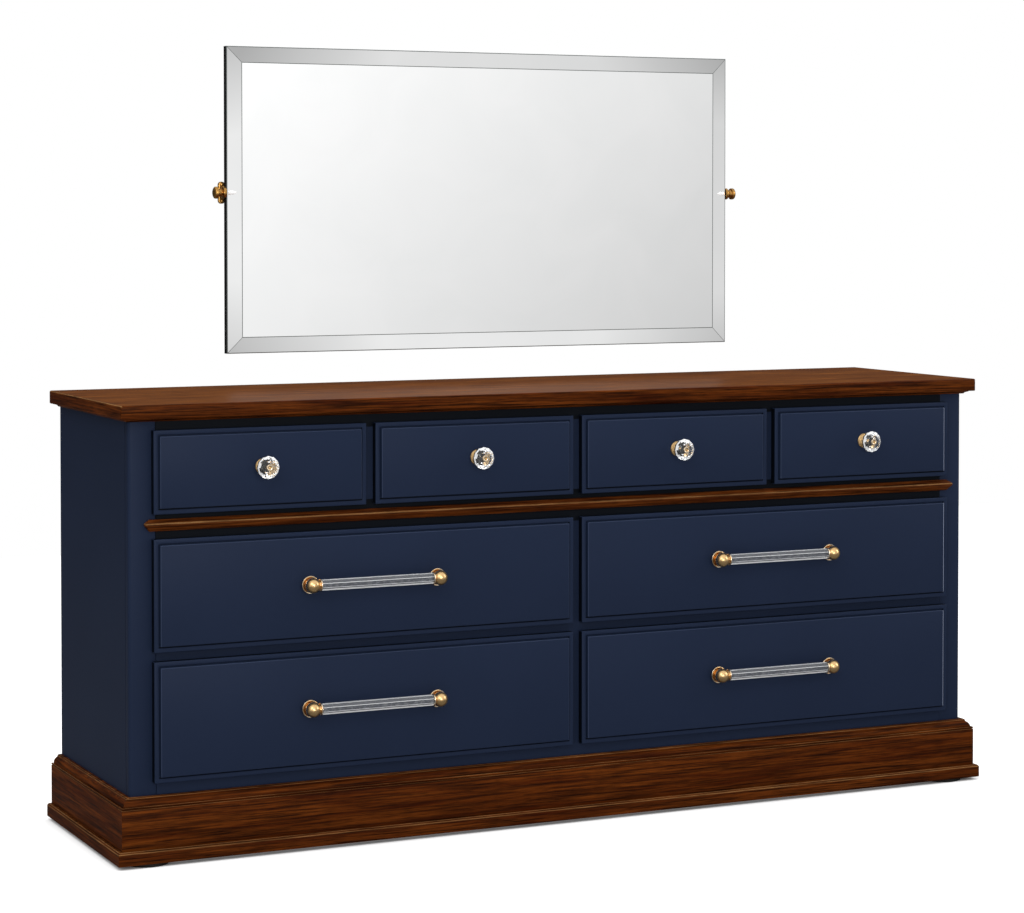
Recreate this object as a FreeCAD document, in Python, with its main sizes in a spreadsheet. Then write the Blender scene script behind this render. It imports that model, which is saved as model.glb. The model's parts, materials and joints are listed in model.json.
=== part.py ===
import FreeCAD, Part
import math
import os
import re
import Sketcher

# A dresser with eight drawers, and the tilting mirror that hangs on the wall above it.
# X runs along the front to the right, Y from the front to the wall, Z up from the floor.
# Depths are written as reach: how far a face stands out from the back of the case.
# The origin lies on the floor, in the middle of the whole set.

Vector = FreeCAD.Vector
doc = FreeCAD.newDocument("dresser")

# Driving dimensions: name, millimetres, meaning
SIZES = [
    ("slab_length", 1760, "top slab, left to right"),
    ("slab_depth", 442, "top slab, back to front"),
    ("slab_thickness", 24, "top slab, edge height"),
    ("slab_round", 3, "radius of the slab's upper edges and front corners"),
    ("side_overhang", 20, "slab beyond the case at each end"),
    ("front_overhang", 23, "slab beyond the case at the front"),
    ("cove_height", 6, "moulding under the slab, height"),
    ("cove_top", 11, "moulding under the slab, width at its top"),
    ("cove_foot", 4, "moulding under the slab, width at its foot"),
    ("panel_thickness", 18, "side panels of the case"),
    ("partition_thickness", 16, "upright partitions between the drawers"),
    ("back_thickness", 6, "back panel"),
    ("back_inset", 3, "back panel in from the back edges of the case"),
    ("dust_thickness", 12, "bottom panel and waist panel"),
    ("frame_thickness", 20, "stiles and rails of the face frame"),
    ("corner_ease", 4, "bevel on the outer corners of the face frame"),
    ("base_height", 120, "floor to the top of the plinth"),
    ("lower_reveal", 22, "plinth to the lower drawer fronts"),
    ("lower_front_height", 211, "lower drawer fronts"),
    ("row_gap", 16, "between the lower and middle fronts"),
    ("middle_front_height", 197, "middle drawer fronts"),
    ("waist_gap", 43, "between the middle and upper fronts"),
    ("upper_front_height", 146, "upper drawer fronts"),
    ("top_reveal", 21, "upper fronts to the slab"),
    ("side_margin", 41, "case side to the outer fronts"),
    ("front_gap", 18, "between neighbouring fronts"),
    ("overlap", 8, "front over the edge of its opening"),
    ("lip_thickness", 14.5, "drawer front at its border"),
    ("lip_width", 10, "border around the raised field"),
    ("field_rise", 4.5, "raised field above the border"),
    ("field_round", 1.5, "rounding of the raised field"),
    ("front_clearance", 0.5, "closed front to the face frame"),
    ("box_side", 12, "drawer box walls"),
    ("box_floor", 6, "drawer box floor"),
    ("box_floor_rise", 8, "drawer box floor above the lower edge of the walls"),
    ("box_side_gap", 3, "drawer box to each edge of its opening"),
    ("box_headroom", 18, "drawer box to the top of its opening"),
    ("box_back_gap", 30, "drawer box to the back panel"),
    ("slide_clearance", 0.3, "drawer box to its runners and guides"),
    ("runner_rise", 2, "runner above the lower edge of the opening"),
    ("runner_height", 16, "runner strips"),
    ("guide_height", 20, "guide strips on the runners"),
    ("waist_edge", 5, "waist moulding, upper and lower edge out from the frame"),
    ("waist_swell", 9, "waist moulding, nose out from its edges"),
    ("waist_lower_slope", 11, "waist moulding, height below the nose"),
    ("waist_nose", 3, "waist moulding, height of the nose"),
    ("waist_upper_slope", 7, "waist moulding, height above the nose"),
    ("waist_lift", 2, "waist moulding above the middle of its gap"),
    ("waist_end", 14, "waist moulding beyond the outer fronts"),
    ("board_thickness", 20, "plinth boards"),
    ("cap_height", 19, "cap moulding on the plinth boards"),
    ("cap_ledge", 6, "cap moulding, width at its top"),
    ("cap_nose", 2.5, "cap moulding, bevel on its upper edge"),
    ("cap_bead", 4, "cap moulding, height of its lower bead"),
    ("cap_step", 3, "cap moulding, set-back above the bead"),
    ("shoe_thickness", 8.5, "base shoe"),
    ("shoe_height", 24, "base shoe"),
    ("shoe_ease", 3, "bevel on the base shoe's upper edge"),
    ("foot_height", 6, "foot pads"),
    ("foot_diameter", 78, "foot pads"),
    ("foot_inset", 2, "foot pads in from the front and the back of the base"),
    ("foot_side_inset", 24, "foot pads in from the sides of the base"),
    ("knob_rise", 4, "knobs above the middle of their fronts"),
    ("pull_rise", 6, "pulls above the middle of their fronts"),
    ("bolt_diameter", 4, "bolts through the fronts"),
    ("bolt_clearance", 0.5, "hole around a bolt, all round"),
    ("bolt_head_diameter", 9, "bolt heads inside the drawers"),
    ("bolt_head_height", 3, "bolt heads inside the drawers"),
    ("knob_diameter", 40.5, "clear knob at its girdle"),
    ("knob_face_diameter", 25, "clear knob at its flat face"),
    ("knob_heel_diameter", 19, "clear knob at its heel"),
    ("knob_rosette_diameter", 28, "brass rosette behind a knob"),
    ("knob_rosette_thickness", 4, "brass rosette behind a knob"),
    ("knob_neck_diameter", 13, "brass neck of a knob"),
    ("knob_neck_length", 6, "brass neck of a knob"),
    ("knob_heel_length", 15, "clear knob, heel to girdle"),
    ("knob_girdle", 4, "clear knob, girdle width"),
    ("knob_crown", 7, "clear knob, girdle to face"),
    ("core_diameter", 5, "brass core through a knob"),
    ("core_clearance", 0.1, "core to the clear knob, all round"),
    ("core_cap_diameter", 12, "brass cap on the knob's face"),
    ("core_cap_height", 1.5, "brass cap on the knob's face"),
    ("pull_spacing", 245, "between the two balls of a pull"),
    ("pull_reach", 24, "pull axis out from the raised field"),
    ("ball_diameter", 27, "brass balls of a pull"),
    ("pull_rosette_diameter", 31.4, "brass rosette behind a ball, at its rim"),
    ("pull_rosette_base", 17, "brass rosette behind a ball, at the front"),
    ("pull_rosette_thickness", 13, "brass rosette behind a ball, at its rim"),
    ("pull_rosette_rim", 2.6, "width of a rosette's rim"),
    ("pull_rosette_floor", 4, "brass rosette behind a ball, in its hollow"),
    ("pull_neck_diameter", 15, "brass necks of a ball"),
    ("collar_diameter", 22.6, "brass collar at the end of the rod"),
    ("collar_length", 2.6, "brass collar at the end of the rod"),
    ("collar_bite", 0.9, "brass collar over the side of the ball"),
    ("rod_diameter", 18.8, "clear rod across its flats"),
    ("wall_gap", 26, "back of the case to the wall"),
    ("mirror_width", 1086, "mirror glass"),
    ("mirror_height", 584, "mirror glass"),
    ("glass_thickness", 5, "mirror glass"),
    ("bevel_width", 30, "ground bevel around the glass"),
    ("bevel_depth", 1.2, "ground bevel around the glass"),
    ("mirror_back_thickness", 11, "backing board behind the glass"),
    ("mirror_gap", 62, "slab to the lower edge of the mirror"),
    ("mirror_standoff", 50, "wall to the tilt axis"),
    ("pivot_rise", 14, "tilt axis above the middle of the mirror"),
    ("stem_diameter", 8, "pivot stem"),
    ("stem_clearance", 0.05, "pivot stem in its eye, all round"),
    ("spigot_diameter", 5, "pivot stem inside the backing board"),
    ("spigot_length", 20, "pivot stem inside the backing board"),
    ("spigot_clearance", 0.05, "hole around a spigot, all round"),
    ("eye_diameter", 23, "eye of a bearing block"),
    ("eye_thickness", 5, "eye of a bearing block"),
    ("eye_clearance", 1, "eye to the side of the mirror"),
    ("pivot_knob_clearance", 0.5, "eye to the pivot knob"),
    ("web_height", 16, "web under the eye of a bearing block"),
    ("block_width", 12, "foot plate of a bearing block"),
    ("block_height", 42, "foot plate of a bearing block"),
    ("block_thickness", 3, "foot plate of a bearing block"),
    ("block_gap", 6.5, "foot plate's front to the back of the mirror"),
    ("block_outset", 2, "foot plate's middle out from the side of the mirror"),
    ("block_screw_spacing", 31, "between the two screws of a bearing block"),
    ("block_screw_diameter", 3.5, "screws of a bearing block"),
    ("block_screw_clearance", 0.2, "hole around a bearing block's screw, all round"),
    ("screw_head_diameter", 7, "screw heads of a bearing block"),
    ("screw_head_height", 2.5, "screw heads of a bearing block"),
    ("arm_thickness", 4.5, "wall arm"),
    ("arm_height", 16, "wall arm"),
    ("arm_length", 41, "wall arm, bearing block to post"),
    ("pivot_knob_neck_diameter", 12, "pivot knob at its inner step"),
    ("pivot_knob_neck", 3.5, "pivot knob, inner step"),
    ("pivot_knob_step_diameter", 15.5, "pivot knob at its second step"),
    ("pivot_knob_step", 5.5, "pivot knob, second step"),
    ("pivot_knob_diameter", 23, "pivot knob"),
    ("pivot_knob_body", 6, "pivot knob, widest part"),
    ("pivot_knob_tip_diameter", 15, "pivot knob at its outer end"),
    ("pivot_knob_tip", 3, "pivot knob, outer slope"),
    ("post_diameter", 10, "post of a wall arm"),
    ("flange_width", 18, "wall flange"),
    ("flange_end", 8, "wall flange beyond its holes"),
    ("flange_thickness", 4, "wall flange"),
    ("flange_hole_spacing", 32, "between the two holes of a wall flange"),
    ("flange_hole_diameter", 4.6, "holes of a wall flange"),
]

# Places and sizes that follow from the driving ones: name, formula, meaning
LAYOUT = [
    ("case_half", "slab_length / 2 - side_overhang", "middle to the outside of the case"),
    ("inner_half", "case_half - panel_thickness", "middle to the inside of a side panel"),
    ("case_depth", "slab_depth - front_overhang", "reach of the face frame"),
    ("frame_back", "case_depth - frame_thickness", "reach of the face frame's back"),
    ("panel_front", "back_inset + back_thickness", "reach of the back panel's inner face"),
    ("stile_width", "side_margin + overlap", "outer stiles"),
    ("muntin_half", "front_gap / 2 + overlap", "half the width of the inner stiles"),
    ("shoe_reach", "board_thickness + shoe_thickness", "base shoe out from the case"),
    ("shoe_top", "foot_height + shoe_height", "top of the base shoe"),
    ("front_thickness", "lip_thickness + field_rise", "drawer fronts at their raised field"),
    ("front_back", "case_depth + front_clearance", "reach of a closed front's back"),
    ("field_reach", "front_back + front_thickness", "reach of a closed front's field"),
    ("pull_axis", "field_reach + pull_reach", "reach of a pull's axis"),
    ("knob_heel", "knob_rosette_thickness + knob_neck_length", "raised field to a knob's heel"),
    ("knob_widest", "knob_heel + knob_heel_length", "raised field to a knob's girdle"),
    ("knob_face", "knob_widest + knob_girdle + knob_crown", "raised field to a knob's flat face"),
    ("knob_front", "field_reach + knob_face + core_cap_height", "reach of a knob's cap"),
    ("set_front", "max(pull_axis + ball_diameter / 2; knob_front)", "reach of the foremost piece"),
    ("back_y", "(set_front - wall_gap) / 2", "Y of the back of the case"),
    ("plinth_top", "base_height - cap_height", "top of the plinth boards"),
    ("lower_bottom", "base_height + lower_reveal", "lower fronts"),
    ("lower_top", "lower_bottom + lower_front_height", "lower fronts"),
    ("middle_bottom", "lower_top + row_gap", "middle fronts"),
    ("middle_top", "middle_bottom + middle_front_height", "middle fronts"),
    ("upper_bottom", "middle_top + waist_gap", "upper fronts"),
    ("upper_top", "upper_bottom + upper_front_height", "upper fronts"),
    ("slab_bottom", "upper_top + top_reveal", "underside of the slab"),
    ("slab_top", "slab_bottom + slab_thickness", "top of the slab"),
    ("runner_drop", "runner_height - runner_rise - overlap", "runner's underside below its front"),
    ("bottom_panel_top", "lower_bottom - runner_drop", "bottom panel, under the runners"),
    ("waist_panel_top", "upper_bottom - runner_drop", "waist panel, under the runners"),
    ("waist_reach", "waist_edge + waist_swell", "waist moulding, nose out from the frame"),
    ("waist_nose_top", "waist_lower_slope + waist_nose", "waist moulding, underside to the nose's top"),
    ("waist_height", "waist_nose_top + waist_upper_slope", "waist moulding"),
    ("waist_low", "(middle_top + upper_bottom - waist_height) / 2 + waist_lift", "its underside"),
    ("upper_width", "(2 * case_half - 2 * side_margin - 3 * front_gap) / 4", "upper fronts"),
    ("upper_pitch", "upper_width + front_gap", "upper fronts, middle to middle"),
    ("lower_width", "2 * upper_width + front_gap", "lower and middle fronts"),
    ("lower_pitch", "lower_width + front_gap", "lower and middle fronts, middle to middle"),
    ("collar_start", "ball_diameter / 2 - collar_bite", "ball's middle to the collar"),
    ("rod_start", "collar_start + collar_length", "ball's middle to the rod"),
    ("mirror_half", "mirror_width / 2", "middle to the side of the mirror"),
    ("mirror_low", "slab_top + mirror_gap", "lower edge of the mirror"),
    ("axis_height", "mirror_low + mirror_height / 2 + pivot_rise", "tilt axis"),
    ("axis_reach", "mirror_standoff - wall_gap", "reach of the tilt axis"),
    ("mirror_back", "axis_reach - (glass_thickness + mirror_back_thickness) / 2", "reach of its back"),
    ("glass_back", "mirror_back + mirror_back_thickness", "reach of the backing board's front"),
    ("eye_inner", "mirror_half + eye_clearance", "middle to an eye's inner side"),
    ("stem_length", "eye_clearance + eye_thickness + pivot_knob_clearance", "pivot stem out of the mirror"),
    ("stem_end", "mirror_half + stem_length", "middle to the end of a stem"),
    ("block_x", "mirror_half + block_outset", "middle to a bearing block"),
    ("block_front", "mirror_back - block_gap", "reach of a bearing block's foot plate"),
    ("arm_front", "block_front - block_thickness", "reach of a wall arm's front"),
    ("arm_back", "arm_front - arm_thickness", "reach of a wall arm's back"),
    ("flange_x", "block_x - arm_length", "middle to a wall flange"),
    ("flange_height", "flange_hole_spacing + 2 * flange_end", "wall flange"),
]

NAMES = {name for name, size, meaning in SIZES}
DERIVED = {name for name, formula, meaning in LAYOUT}


def cells(formula):
    """Point each name in a formula at the sheet that holds it."""
    def cell(match):
        word = match.group()
        if word in NAMES:
            return "dims." + word
        return "layout." + word if word in DERIVED else word
    return re.sub(r"[a-z_]+", cell, formula)


def fill(sheet_name, rows):
    """Write named rows into a sheet, with each name as the alias of its cell."""
    sheet = doc.addObject("Spreadsheet::Sheet", sheet_name)
    for row, (name, text, meaning) in enumerate(rows, start=1):
        sheet.set(f"A{row}", meaning)
        sheet.set(f"B{row}", text)
        sheet.setAlias(f"B{row}", name)
    doc.recompute()


fill("dims", [(name, str(size), meaning) for name, size, meaning in SIZES])
fill("layout", [(name, "=" + cells(formula), meaning) for name, formula, meaning in LAYOUT])


def bind(item, **formulas):
    for name, formula in formulas.items():
        item.setExpression(name, cells(formula))


def place(item, x="0", reach="0", z="0"):
    item.setExpression("Placement.Base.x", cells(x))
    item.setExpression("Placement.Base.y", cells(f"back_y - ({reach})"))
    item.setExpression("Placement.Base.z", cells(z))
    return item


def turn(item, rotation):
    item.Placement = FreeCAD.Placement(Vector(0, 0, 0), rotation)
    return item


def block(name, x, reach, z):
    """A board between two values of x, of reach and of z."""
    board = doc.addObject("Part::Box", name)
    for side, (start, stop) in (("Length", x), ("Width", reach), ("Height", z)):
        bind(board, **{side: f"{stop} - ({start})"})
    return place(board, x[0], reach[1], z[0])


TO_X = FreeCAD.Rotation(Vector(0, 1, 0), 90)
TO_FRONT = FreeCAD.Rotation(Vector(1, 0, 0), 90)
TO_TOP = FreeCAD.Rotation()


def cylinder(name, diameter, length, direction, x, reach, z):
    """A round bar that starts at a point and runs to the right, to the front or up."""
    bar = turn(doc.addObject("Part::Cylinder", name), direction)
    bind(bar, Radius=f"({diameter}) / 2", Height=length)
    return place(bar, x, reach, z)


def outline(name, corners, body=None, plane="XZ_Plane"):
    """A closed sketch through corners that follow the sheets, free or on a plane of a body."""
    if body:
        sketch = body.newObject("Sketcher::SketchObject", name)
        support = next(item for item in body.Origin.OriginFeatures if item.Role == plane)
        sketch.AttachmentSupport = [(support, "")]
        sketch.MapMode = "FlatFace"
    else:
        sketch = doc.addObject("Sketcher::SketchObject", name)
    count = len(corners)
    step = 2 * math.pi / count
    start = [Vector(math.cos(step * i), math.sin(step * i), 0) for i in range(count)]
    for i in range(count):
        sketch.addGeometry(Part.LineSegment(start[i], start[(i + 1) % count]), False)
    for i in range(count):
        sketch.addConstraint(Sketcher.Constraint("Coincident", i, 2, (i + 1) % count, 1))
    for i, corner in enumerate(corners):
        for kind, value, formula in zip(("DistanceX", "DistanceY"), start[i], corner):
            index = sketch.addConstraint(Sketcher.Constraint(kind, -1, 1, i, 1, value))
            sketch.setExpression(f"Constraints[{index}]", cells(formula))
    return sketch


def rectangle(width, height):
    w, h = f"({width}) / 2", f"({height}) / 2"
    return [("-" + w, "-" + h), (w, "-" + h), (w, h), ("-" + w, h)]


def pad(body, sketch, length):
    feature = body.newObject("PartDesign::Pad", sketch.Name + "_pad")
    feature.Profile = sketch
    bind(feature, Length=length)
    return feature


def extruded(name, sketch, direction, length):
    solid = doc.addObject("Part::Extrusion", name)
    solid.Base = sketch
    solid.DirMode = "Custom"
    solid.Dir = direction
    solid.Solid = True
    bind(solid, LengthFwd=length)
    return solid


def turned(name, profile, direction, x, reach, z):
    """A turned piece; its profile is a list of (distance along the axis, radius)."""
    solid = turn(doc.addObject("Part::Revolution", name), direction)
    solid.Source = outline(name + "_profile", profile)
    solid.Axis = Vector(1, 0, 0)
    solid.Angle = 360
    solid.Solid = True
    return place(solid, x, reach, z)


def fused(name, pieces):
    solid = doc.addObject("Part::MultiFuse", name)
    solid.Shapes = pieces
    return solid


def cut(name, base, tools):
    solid = doc.addObject("Part::Cut", name)
    solid.Base = base
    solid.Tool = tools[0] if len(tools) == 1 else fused(name + "_tools", tools)
    return solid


def group(name, pieces):
    bundle = doc.addObject("Part::Compound", name)
    bundle.Links = pieces
    return bundle


parts = []


def keep(item, label):
    """Hand a finished sub-part in under its label."""
    item.Label = label
    parts.append(item)


UP = Vector(0, 0, 1)
BACKWARD = Vector(0, 1, 0)
LEFTWARD = Vector(-1, 0, 0)
SIDEWAYS = FreeCAD.Rotation(Vector(0, -1, 0), UP, Vector(-1, 0, 0), "XYZ")
FACING = FreeCAD.Rotation(Vector(1, 0, 0), UP, Vector(0, -1, 0), "XYZ")
FACING_BACK = FreeCAD.Rotation(Vector(-1, 0, 0), UP, Vector(0, 1, 0), "XYZ")


def common(name, base, tool):
    solid = doc.addObject("Part::Common", name)
    solid.Base = base
    solid.Tool = tool
    return solid


def surround(label, profile, z, widest, height):
    """Front, left and right strips around the case, mitred at the corners.

    The profile is a list of (distance out from the case, height above z). Each strip is a straight run
    of it, cut to a plan whose ends follow the corners' diagonals.
    """
    far = f"(2 * ({widest}))"
    deep = f"(case_depth + {far})"
    wide = f"(case_half + {far})"

    def side_plan(sign):
        inner, outer = f"{sign} * case_half", f"{sign} * {wide}"
        return [(inner, "case_depth"), (inner, "0"), (outer, f"-{far}"), (outer, "case_depth")]

    front_plan = [("-case_half", "0"), (f"-{wide}", f"-{far}"), (wide, f"-{far}"), ("case_half", "0")]
    runs = (("front", SIDEWAYS, wide, "case_depth", LEFTWARD, f"2 * {wide}", front_plan),
            ("left", FACING_BACK, "-case_half", deep, BACKWARD, deep, side_plan(-1)),
            ("right", FACING, "case_half", deep, BACKWARD, deep, side_plan(1)))
    strips = []
    for side, rotation, x, reach, direction, length, plan in runs:
        name = f"{label}_{side}"
        section = place(turn(outline(name + "_section", profile), rotation), x, reach, z)
        straight = extruded(name + "_run", section, direction, length)
        area = place(outline(name + "_plan", plan), "0", "case_depth", f"{z} - ({height})")
        strips.append(common(name, straight, extruded(name + "_area", area, UP, f"3 * ({height})")))
    keep(group(label + "_strips", strips), label)


TOUCH = 0.001


def edges_where(shape, test):
    """Names of the edges whose bounding box passes a test."""
    return [f"Edge{i}" for i, edge in enumerate(shape.Edges, start=1) if test(edge.BoundBox)]


def top_slab():
    """A slab whose upper edges and front corners are rounded, but not its back."""
    body = doc.addObject("PartDesign::Body", "slab")
    plan = outline("slab_plan", rectangle("slab_length", "slab_depth"), body, "XY_Plane")
    board = pad(body, plan, "slab_thickness")
    doc.recompute()
    whole = board.Shape.BoundBox
    fillet = body.newObject("PartDesign::Fillet", "slab_edges")
    fillet.Base = (board, edges_where(board.Shape, lambda box: box.ZMax > whole.ZMax - TOUCH
                                      and box.YMin < whole.YMax - TOUCH))
    bind(fillet, Radius="slab_round")
    body.Tip = fillet
    keep(place(body, "0", "slab_depth / 2", "slab_bottom"), "top_slab")


def case():
    """Panels, partitions and runners inside the case."""
    for side, sign in (("left", -1), ("right", 1)):
        x = (f"{sign} * inner_half", f"{sign} * case_half")[::sign]
        panel = block(side + "_panel", x, ("0", "frame_back"), ("foot_height", "slab_bottom"))
        keep(panel, "side_panel_" + side)
    inside = ("-inner_half", "inner_half")
    run = ("panel_front", "frame_back")
    keep(block("back", inside, ("back_inset", "panel_front"), ("shoe_top", "slab_bottom")), "back_panel")
    for label, top in (("bottom_panel", "bottom_panel_top"), ("waist_panel", "waist_panel_top")):
        keep(block(label + "_board", inside, run, (f"{top} - dust_thickness", top)), label)

    def partition(name, x, z):
        return block(name, (f"{x} - partition_thickness / 2", f"{x} + partition_thickness / 2"), run, z)

    lower_span = ("bottom_panel_top", "waist_panel_top - dust_thickness")
    upper_span = ("waist_panel_top", "slab_bottom")
    keep(partition("centre", "0", lower_span), "centre_partition")
    uppers = [partition(f"upper_partition_{i}", f"{i} * upper_pitch", upper_span) for i in (-1, 0, 1)]
    keep(group("upper_partition_group", uppers), "upper_partitions")


def face_frame():
    """Stiles, rails and muntins on the front of the case."""
    reach = ("frame_back", "case_depth")
    for side, sign in (("left", -1), ("right", 1)):
        outside = f"{sign} * case_half"
        inside = f"{sign} * (case_half - stile_width)"
        corners = [(outside, "0"), (outside, "-(frame_thickness - corner_ease)"),
                   (f"{sign} * (case_half - corner_ease)", "-frame_thickness"),
                   (inside, "-frame_thickness"), (inside, "0")]
        plan = outline(side + "_stile_plan", corners)
        stile = extruded(side + "_stile", plan, UP, "slab_bottom - foot_height")
        keep(place(stile, "0", "frame_back", "foot_height"), "stile_" + side)
    between = ("-(case_half - stile_width)", "case_half - stile_width")
    rails = (("top_rail", "upper_top - overlap", "slab_bottom"),
             ("waist_rail", "middle_top - overlap", "upper_bottom + overlap"),
             ("bottom_rail", "shoe_top", "lower_bottom + overlap"))
    for label, low, high in rails:
        keep(block(label + "_bar", between, reach, (low, high)), label)
    halves = (("left", between[0], "-muntin_half"), ("right", "muntin_half", between[1]))
    middle_span = ("lower_top - overlap", "middle_bottom + overlap")
    middle = [block(f"middle_rail_{side}", (low, high), reach, middle_span) for side, low, high in halves]
    keep(group("middle_rail_pair", middle), "middle_rails")

    def muntin(name, x, z):
        return block(name, (f"{x} - muntin_half", f"{x} + muntin_half"), reach, z)

    lower_span = ("lower_bottom + overlap", "middle_top - overlap")
    upper_span = ("upper_bottom + overlap", "upper_top - overlap")
    muntins = [muntin("lower_muntin", "0", lower_span)]
    muntins += [muntin(f"upper_muntin_{i}", f"{i} * upper_pitch", upper_span) for i in (-1, 0, 1)]
    keep(group("muntin_group", muntins), "frame_muntins")


def waist_moulding():
    """A nosed strip whose two ends return to the frame with the same profile."""
    half = "(case_half - side_margin + waist_end - waist_reach)"
    nosing = [("waist_edge", "0"), ("waist_reach", "waist_lower_slope"),
              ("waist_reach", "waist_nose_top"), ("waist_edge", "waist_height")]
    profile = turn(outline("waist_profile", [("0", "0")] + nosing + [("0", "waist_height")]), SIDEWAYS)
    place(profile, f"{half} + waist_reach", "case_depth", "waist_low")
    face = [(f"{half} + {out}", up) for out, up in nosing]
    face += [(f"-({half} + {out})", up) for out, up in reversed(nosing)]
    front = place(turn(outline("waist_face", face), FACING), "0", "case_depth", "waist_low")
    run = extruded("waist_run", profile, LEFTWARD, f"2 * ({half} + waist_reach)")
    shape = extruded("waist_shape", front, Vector(0, -1, 0), "waist_reach")
    keep(common("waist_strip", run, shape), "waist_moulding")


def slab_cove():
    """Small moulding under the slab."""
    edge = "cove_height * 2 / 3"
    surround("slab_cove", [("0", "0"), ("cove_foot", "0"), ("cove_top", edge), ("cove_top", "cove_height"),
                           ("0", "cove_height")], "slab_bottom - cove_height", "cove_top", "cove_height")


def plinth():
    """Plinth boards, their cap, the base shoe and the foot pads."""
    board_top = "plinth_top - foot_height"
    surround("plinth_boards", [("0", "0"), ("board_thickness", "0"), ("board_thickness", board_top),
                               ("0", board_top)], "foot_height", "board_thickness", board_top)
    surround("plinth_cap", [("0", "0"), ("board_thickness", "0"), ("board_thickness", "cap_bead"),
                            ("board_thickness - cap_step", "cap_bead"),
                            ("cap_ledge + cap_nose", "cap_height - cap_nose"), ("cap_ledge", "cap_height"),
                            ("0", "cap_height")], "plinth_top", "board_thickness", "cap_height")
    surround("base_shoe", [("board_thickness", "0"), ("shoe_reach", "0"),
                           ("shoe_reach", "shoe_height - shoe_ease"),
                           ("shoe_reach - shoe_ease", "shoe_height"), ("board_thickness", "shoe_height")],
             "foot_height", "shoe_reach", "shoe_height")
    inset = "(foot_inset + foot_diameter / 2)"
    rows = (("front", f"case_depth + shoe_reach - {inset}"), ("back", inset))
    pads = []
    for side, sign in (("left", -1), ("right", 1)):
        x = f"{sign} * (case_half + shoe_reach - foot_side_inset - foot_diameter / 2)"
        for row, reach in rows:
            name = f"foot_{row}_{side}"
            pads.append(cylinder(name, "foot_diameter", "foot_height", TO_TOP, x, reach, "0"))
    keep(group("foot_group", pads), "foot_pads")


def hole_sketch(body, name, places, rise):
    """Bolt holes on the back of a drawer front, at several distances from its middle."""
    sketch = body.newObject("Sketcher::SketchObject", name)
    plane = next(item for item in body.Origin.OriginFeatures if item.Role == "XZ_Plane")
    sketch.AttachmentSupport = [(plane, "")]
    sketch.MapMode = "FlatFace"
    for i, x in enumerate(places):
        sketch.addGeometry(Part.Circle(Vector(i, 0, 0), UP, 1), False)
        rules = (("DistanceX", (-1, 1, i, 3, i), x), ("DistanceY", (-1, 1, i, 3, 0), rise),
                 ("Radius", (i, 1), "bolt_diameter / 2 + bolt_clearance"))
        for kind, where, formula in rules:
            index = sketch.addConstraint(Sketcher.Constraint(kind, *where))
            sketch.setExpression(f"Constraints[{index}]", cells(formula))
    return sketch


def drawer_front(label, x, width, low, high, bolts, rise):
    """An overlay front: a bordered board with a raised field and its bolt holes."""
    body = doc.addObject("PartDesign::Body", label + "_body")
    height = f"({high} - {low})"
    lip = outline(label + "_lip", rectangle(width, height), body)
    inner = rectangle(f"{width} - 2 * lip_width", f"{height} - 2 * lip_width")
    field = outline(label + "_field", inner, body)
    pad(body, lip, "lip_thickness")
    raised = pad(body, field, "front_thickness")
    doc.recompute()
    front_y = raised.Shape.BoundBox.YMin
    rounding = body.newObject("PartDesign::Fillet", label + "_rounding")
    rounding.Base = (raised, edges_where(raised.Shape, lambda box: box.YMax < front_y + TOUCH))
    bind(rounding, Radius="field_round")
    doc.recompute()
    holes = body.newObject("PartDesign::Pocket", label + "_holes")
    holes.Profile = hole_sketch(body, label + "_hole_places", bolts, rise)
    holes.Type = "ThroughAll"
    holes.Reversed = True
    doc.recompute()
    if holes.Shape.Volume >= rounding.Shape.Volume:
        raise RuntimeError(label + ": the bolt holes cut nothing")
    keep(place(body, x, "front_back", f"({low} + {high}) / 2"), label)


def drawer_box(label, x, width, low, high, bolts, rise):
    """Sides, back, inner front and floor of a drawer box behind its front."""
    half = f"(({width}) / 2 - overlap - box_side_gap)"
    bottom = f"({low} + overlap + runner_rise + slide_clearance)"
    top = f"({high} - overlap - box_headroom)"
    back = "(panel_front + box_back_gap)"
    inner = (f"{x} - {half} + box_side", f"{x} + {half} - box_side")
    walls = (bottom, top)
    left = block(label + "_left", (f"{x} - {half}", inner[0]), (back, "front_back"), walls)
    right = block(label + "_right", (inner[1], f"{x} + {half}"), (back, "front_back"), walls)
    rear = block(label + "_rear", inner, (back, f"{back} + box_side"), walls)
    fore = block(label + "_fore", inner, ("front_back - box_side", "front_back"), walls)
    height = f"({low} + {high}) / 2 + {rise}"
    drills = [cylinder(f"{label}_drill_{i}", "bolt_diameter + 2 * bolt_clearance", "3 * box_side", TO_FRONT,
                       f"{x} + {bolt}", "front_back - 2 * box_side", height)
              for i, bolt in enumerate(bolts)]
    fore = cut(label + "_fore_drilled", fore, drills)
    floor = block(label + "_floor", inner, (f"{back} + box_side", "front_back - box_side"),
                  (f"{bottom} + box_floor_rise", f"{bottom} + box_floor_rise + box_floor"))
    keep(group(label + "_group", [left, right, rear, fore, floor]), label)


def drawer_runners(name, x, width, low, walls):
    """A runner and a guide strip at each side of a drawer box, on the walls beside it."""
    half = f"(({width}) / 2 - overlap - box_side_gap)"
    top = f"({low} + overlap + runner_rise)"
    run = ("panel_front", "frame_back")
    strips = []
    for side, wall, sign in (("left", walls[0], 1), ("right", walls[1], -1)):
        edge = f"({x} - {sign} * {half})"
        under = f"{edge} + {sign} * box_side"
        beside = f"{edge} - {sign} * slide_clearance"
        for kind, stop, z in (("runner", under, (f"{top} - runner_height", top)),
                              ("guide", beside, (top, f"{top} + guide_height"))):
            strips.append(block(f"{name}_{kind}_{side}", (wall, stop)[::sign], run, z))
    return strips


TO_FRONT_TURNED = FreeCAD.Rotation(UP, -90)
BOLT_TAIL = "(front_thickness + box_side)"


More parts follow.
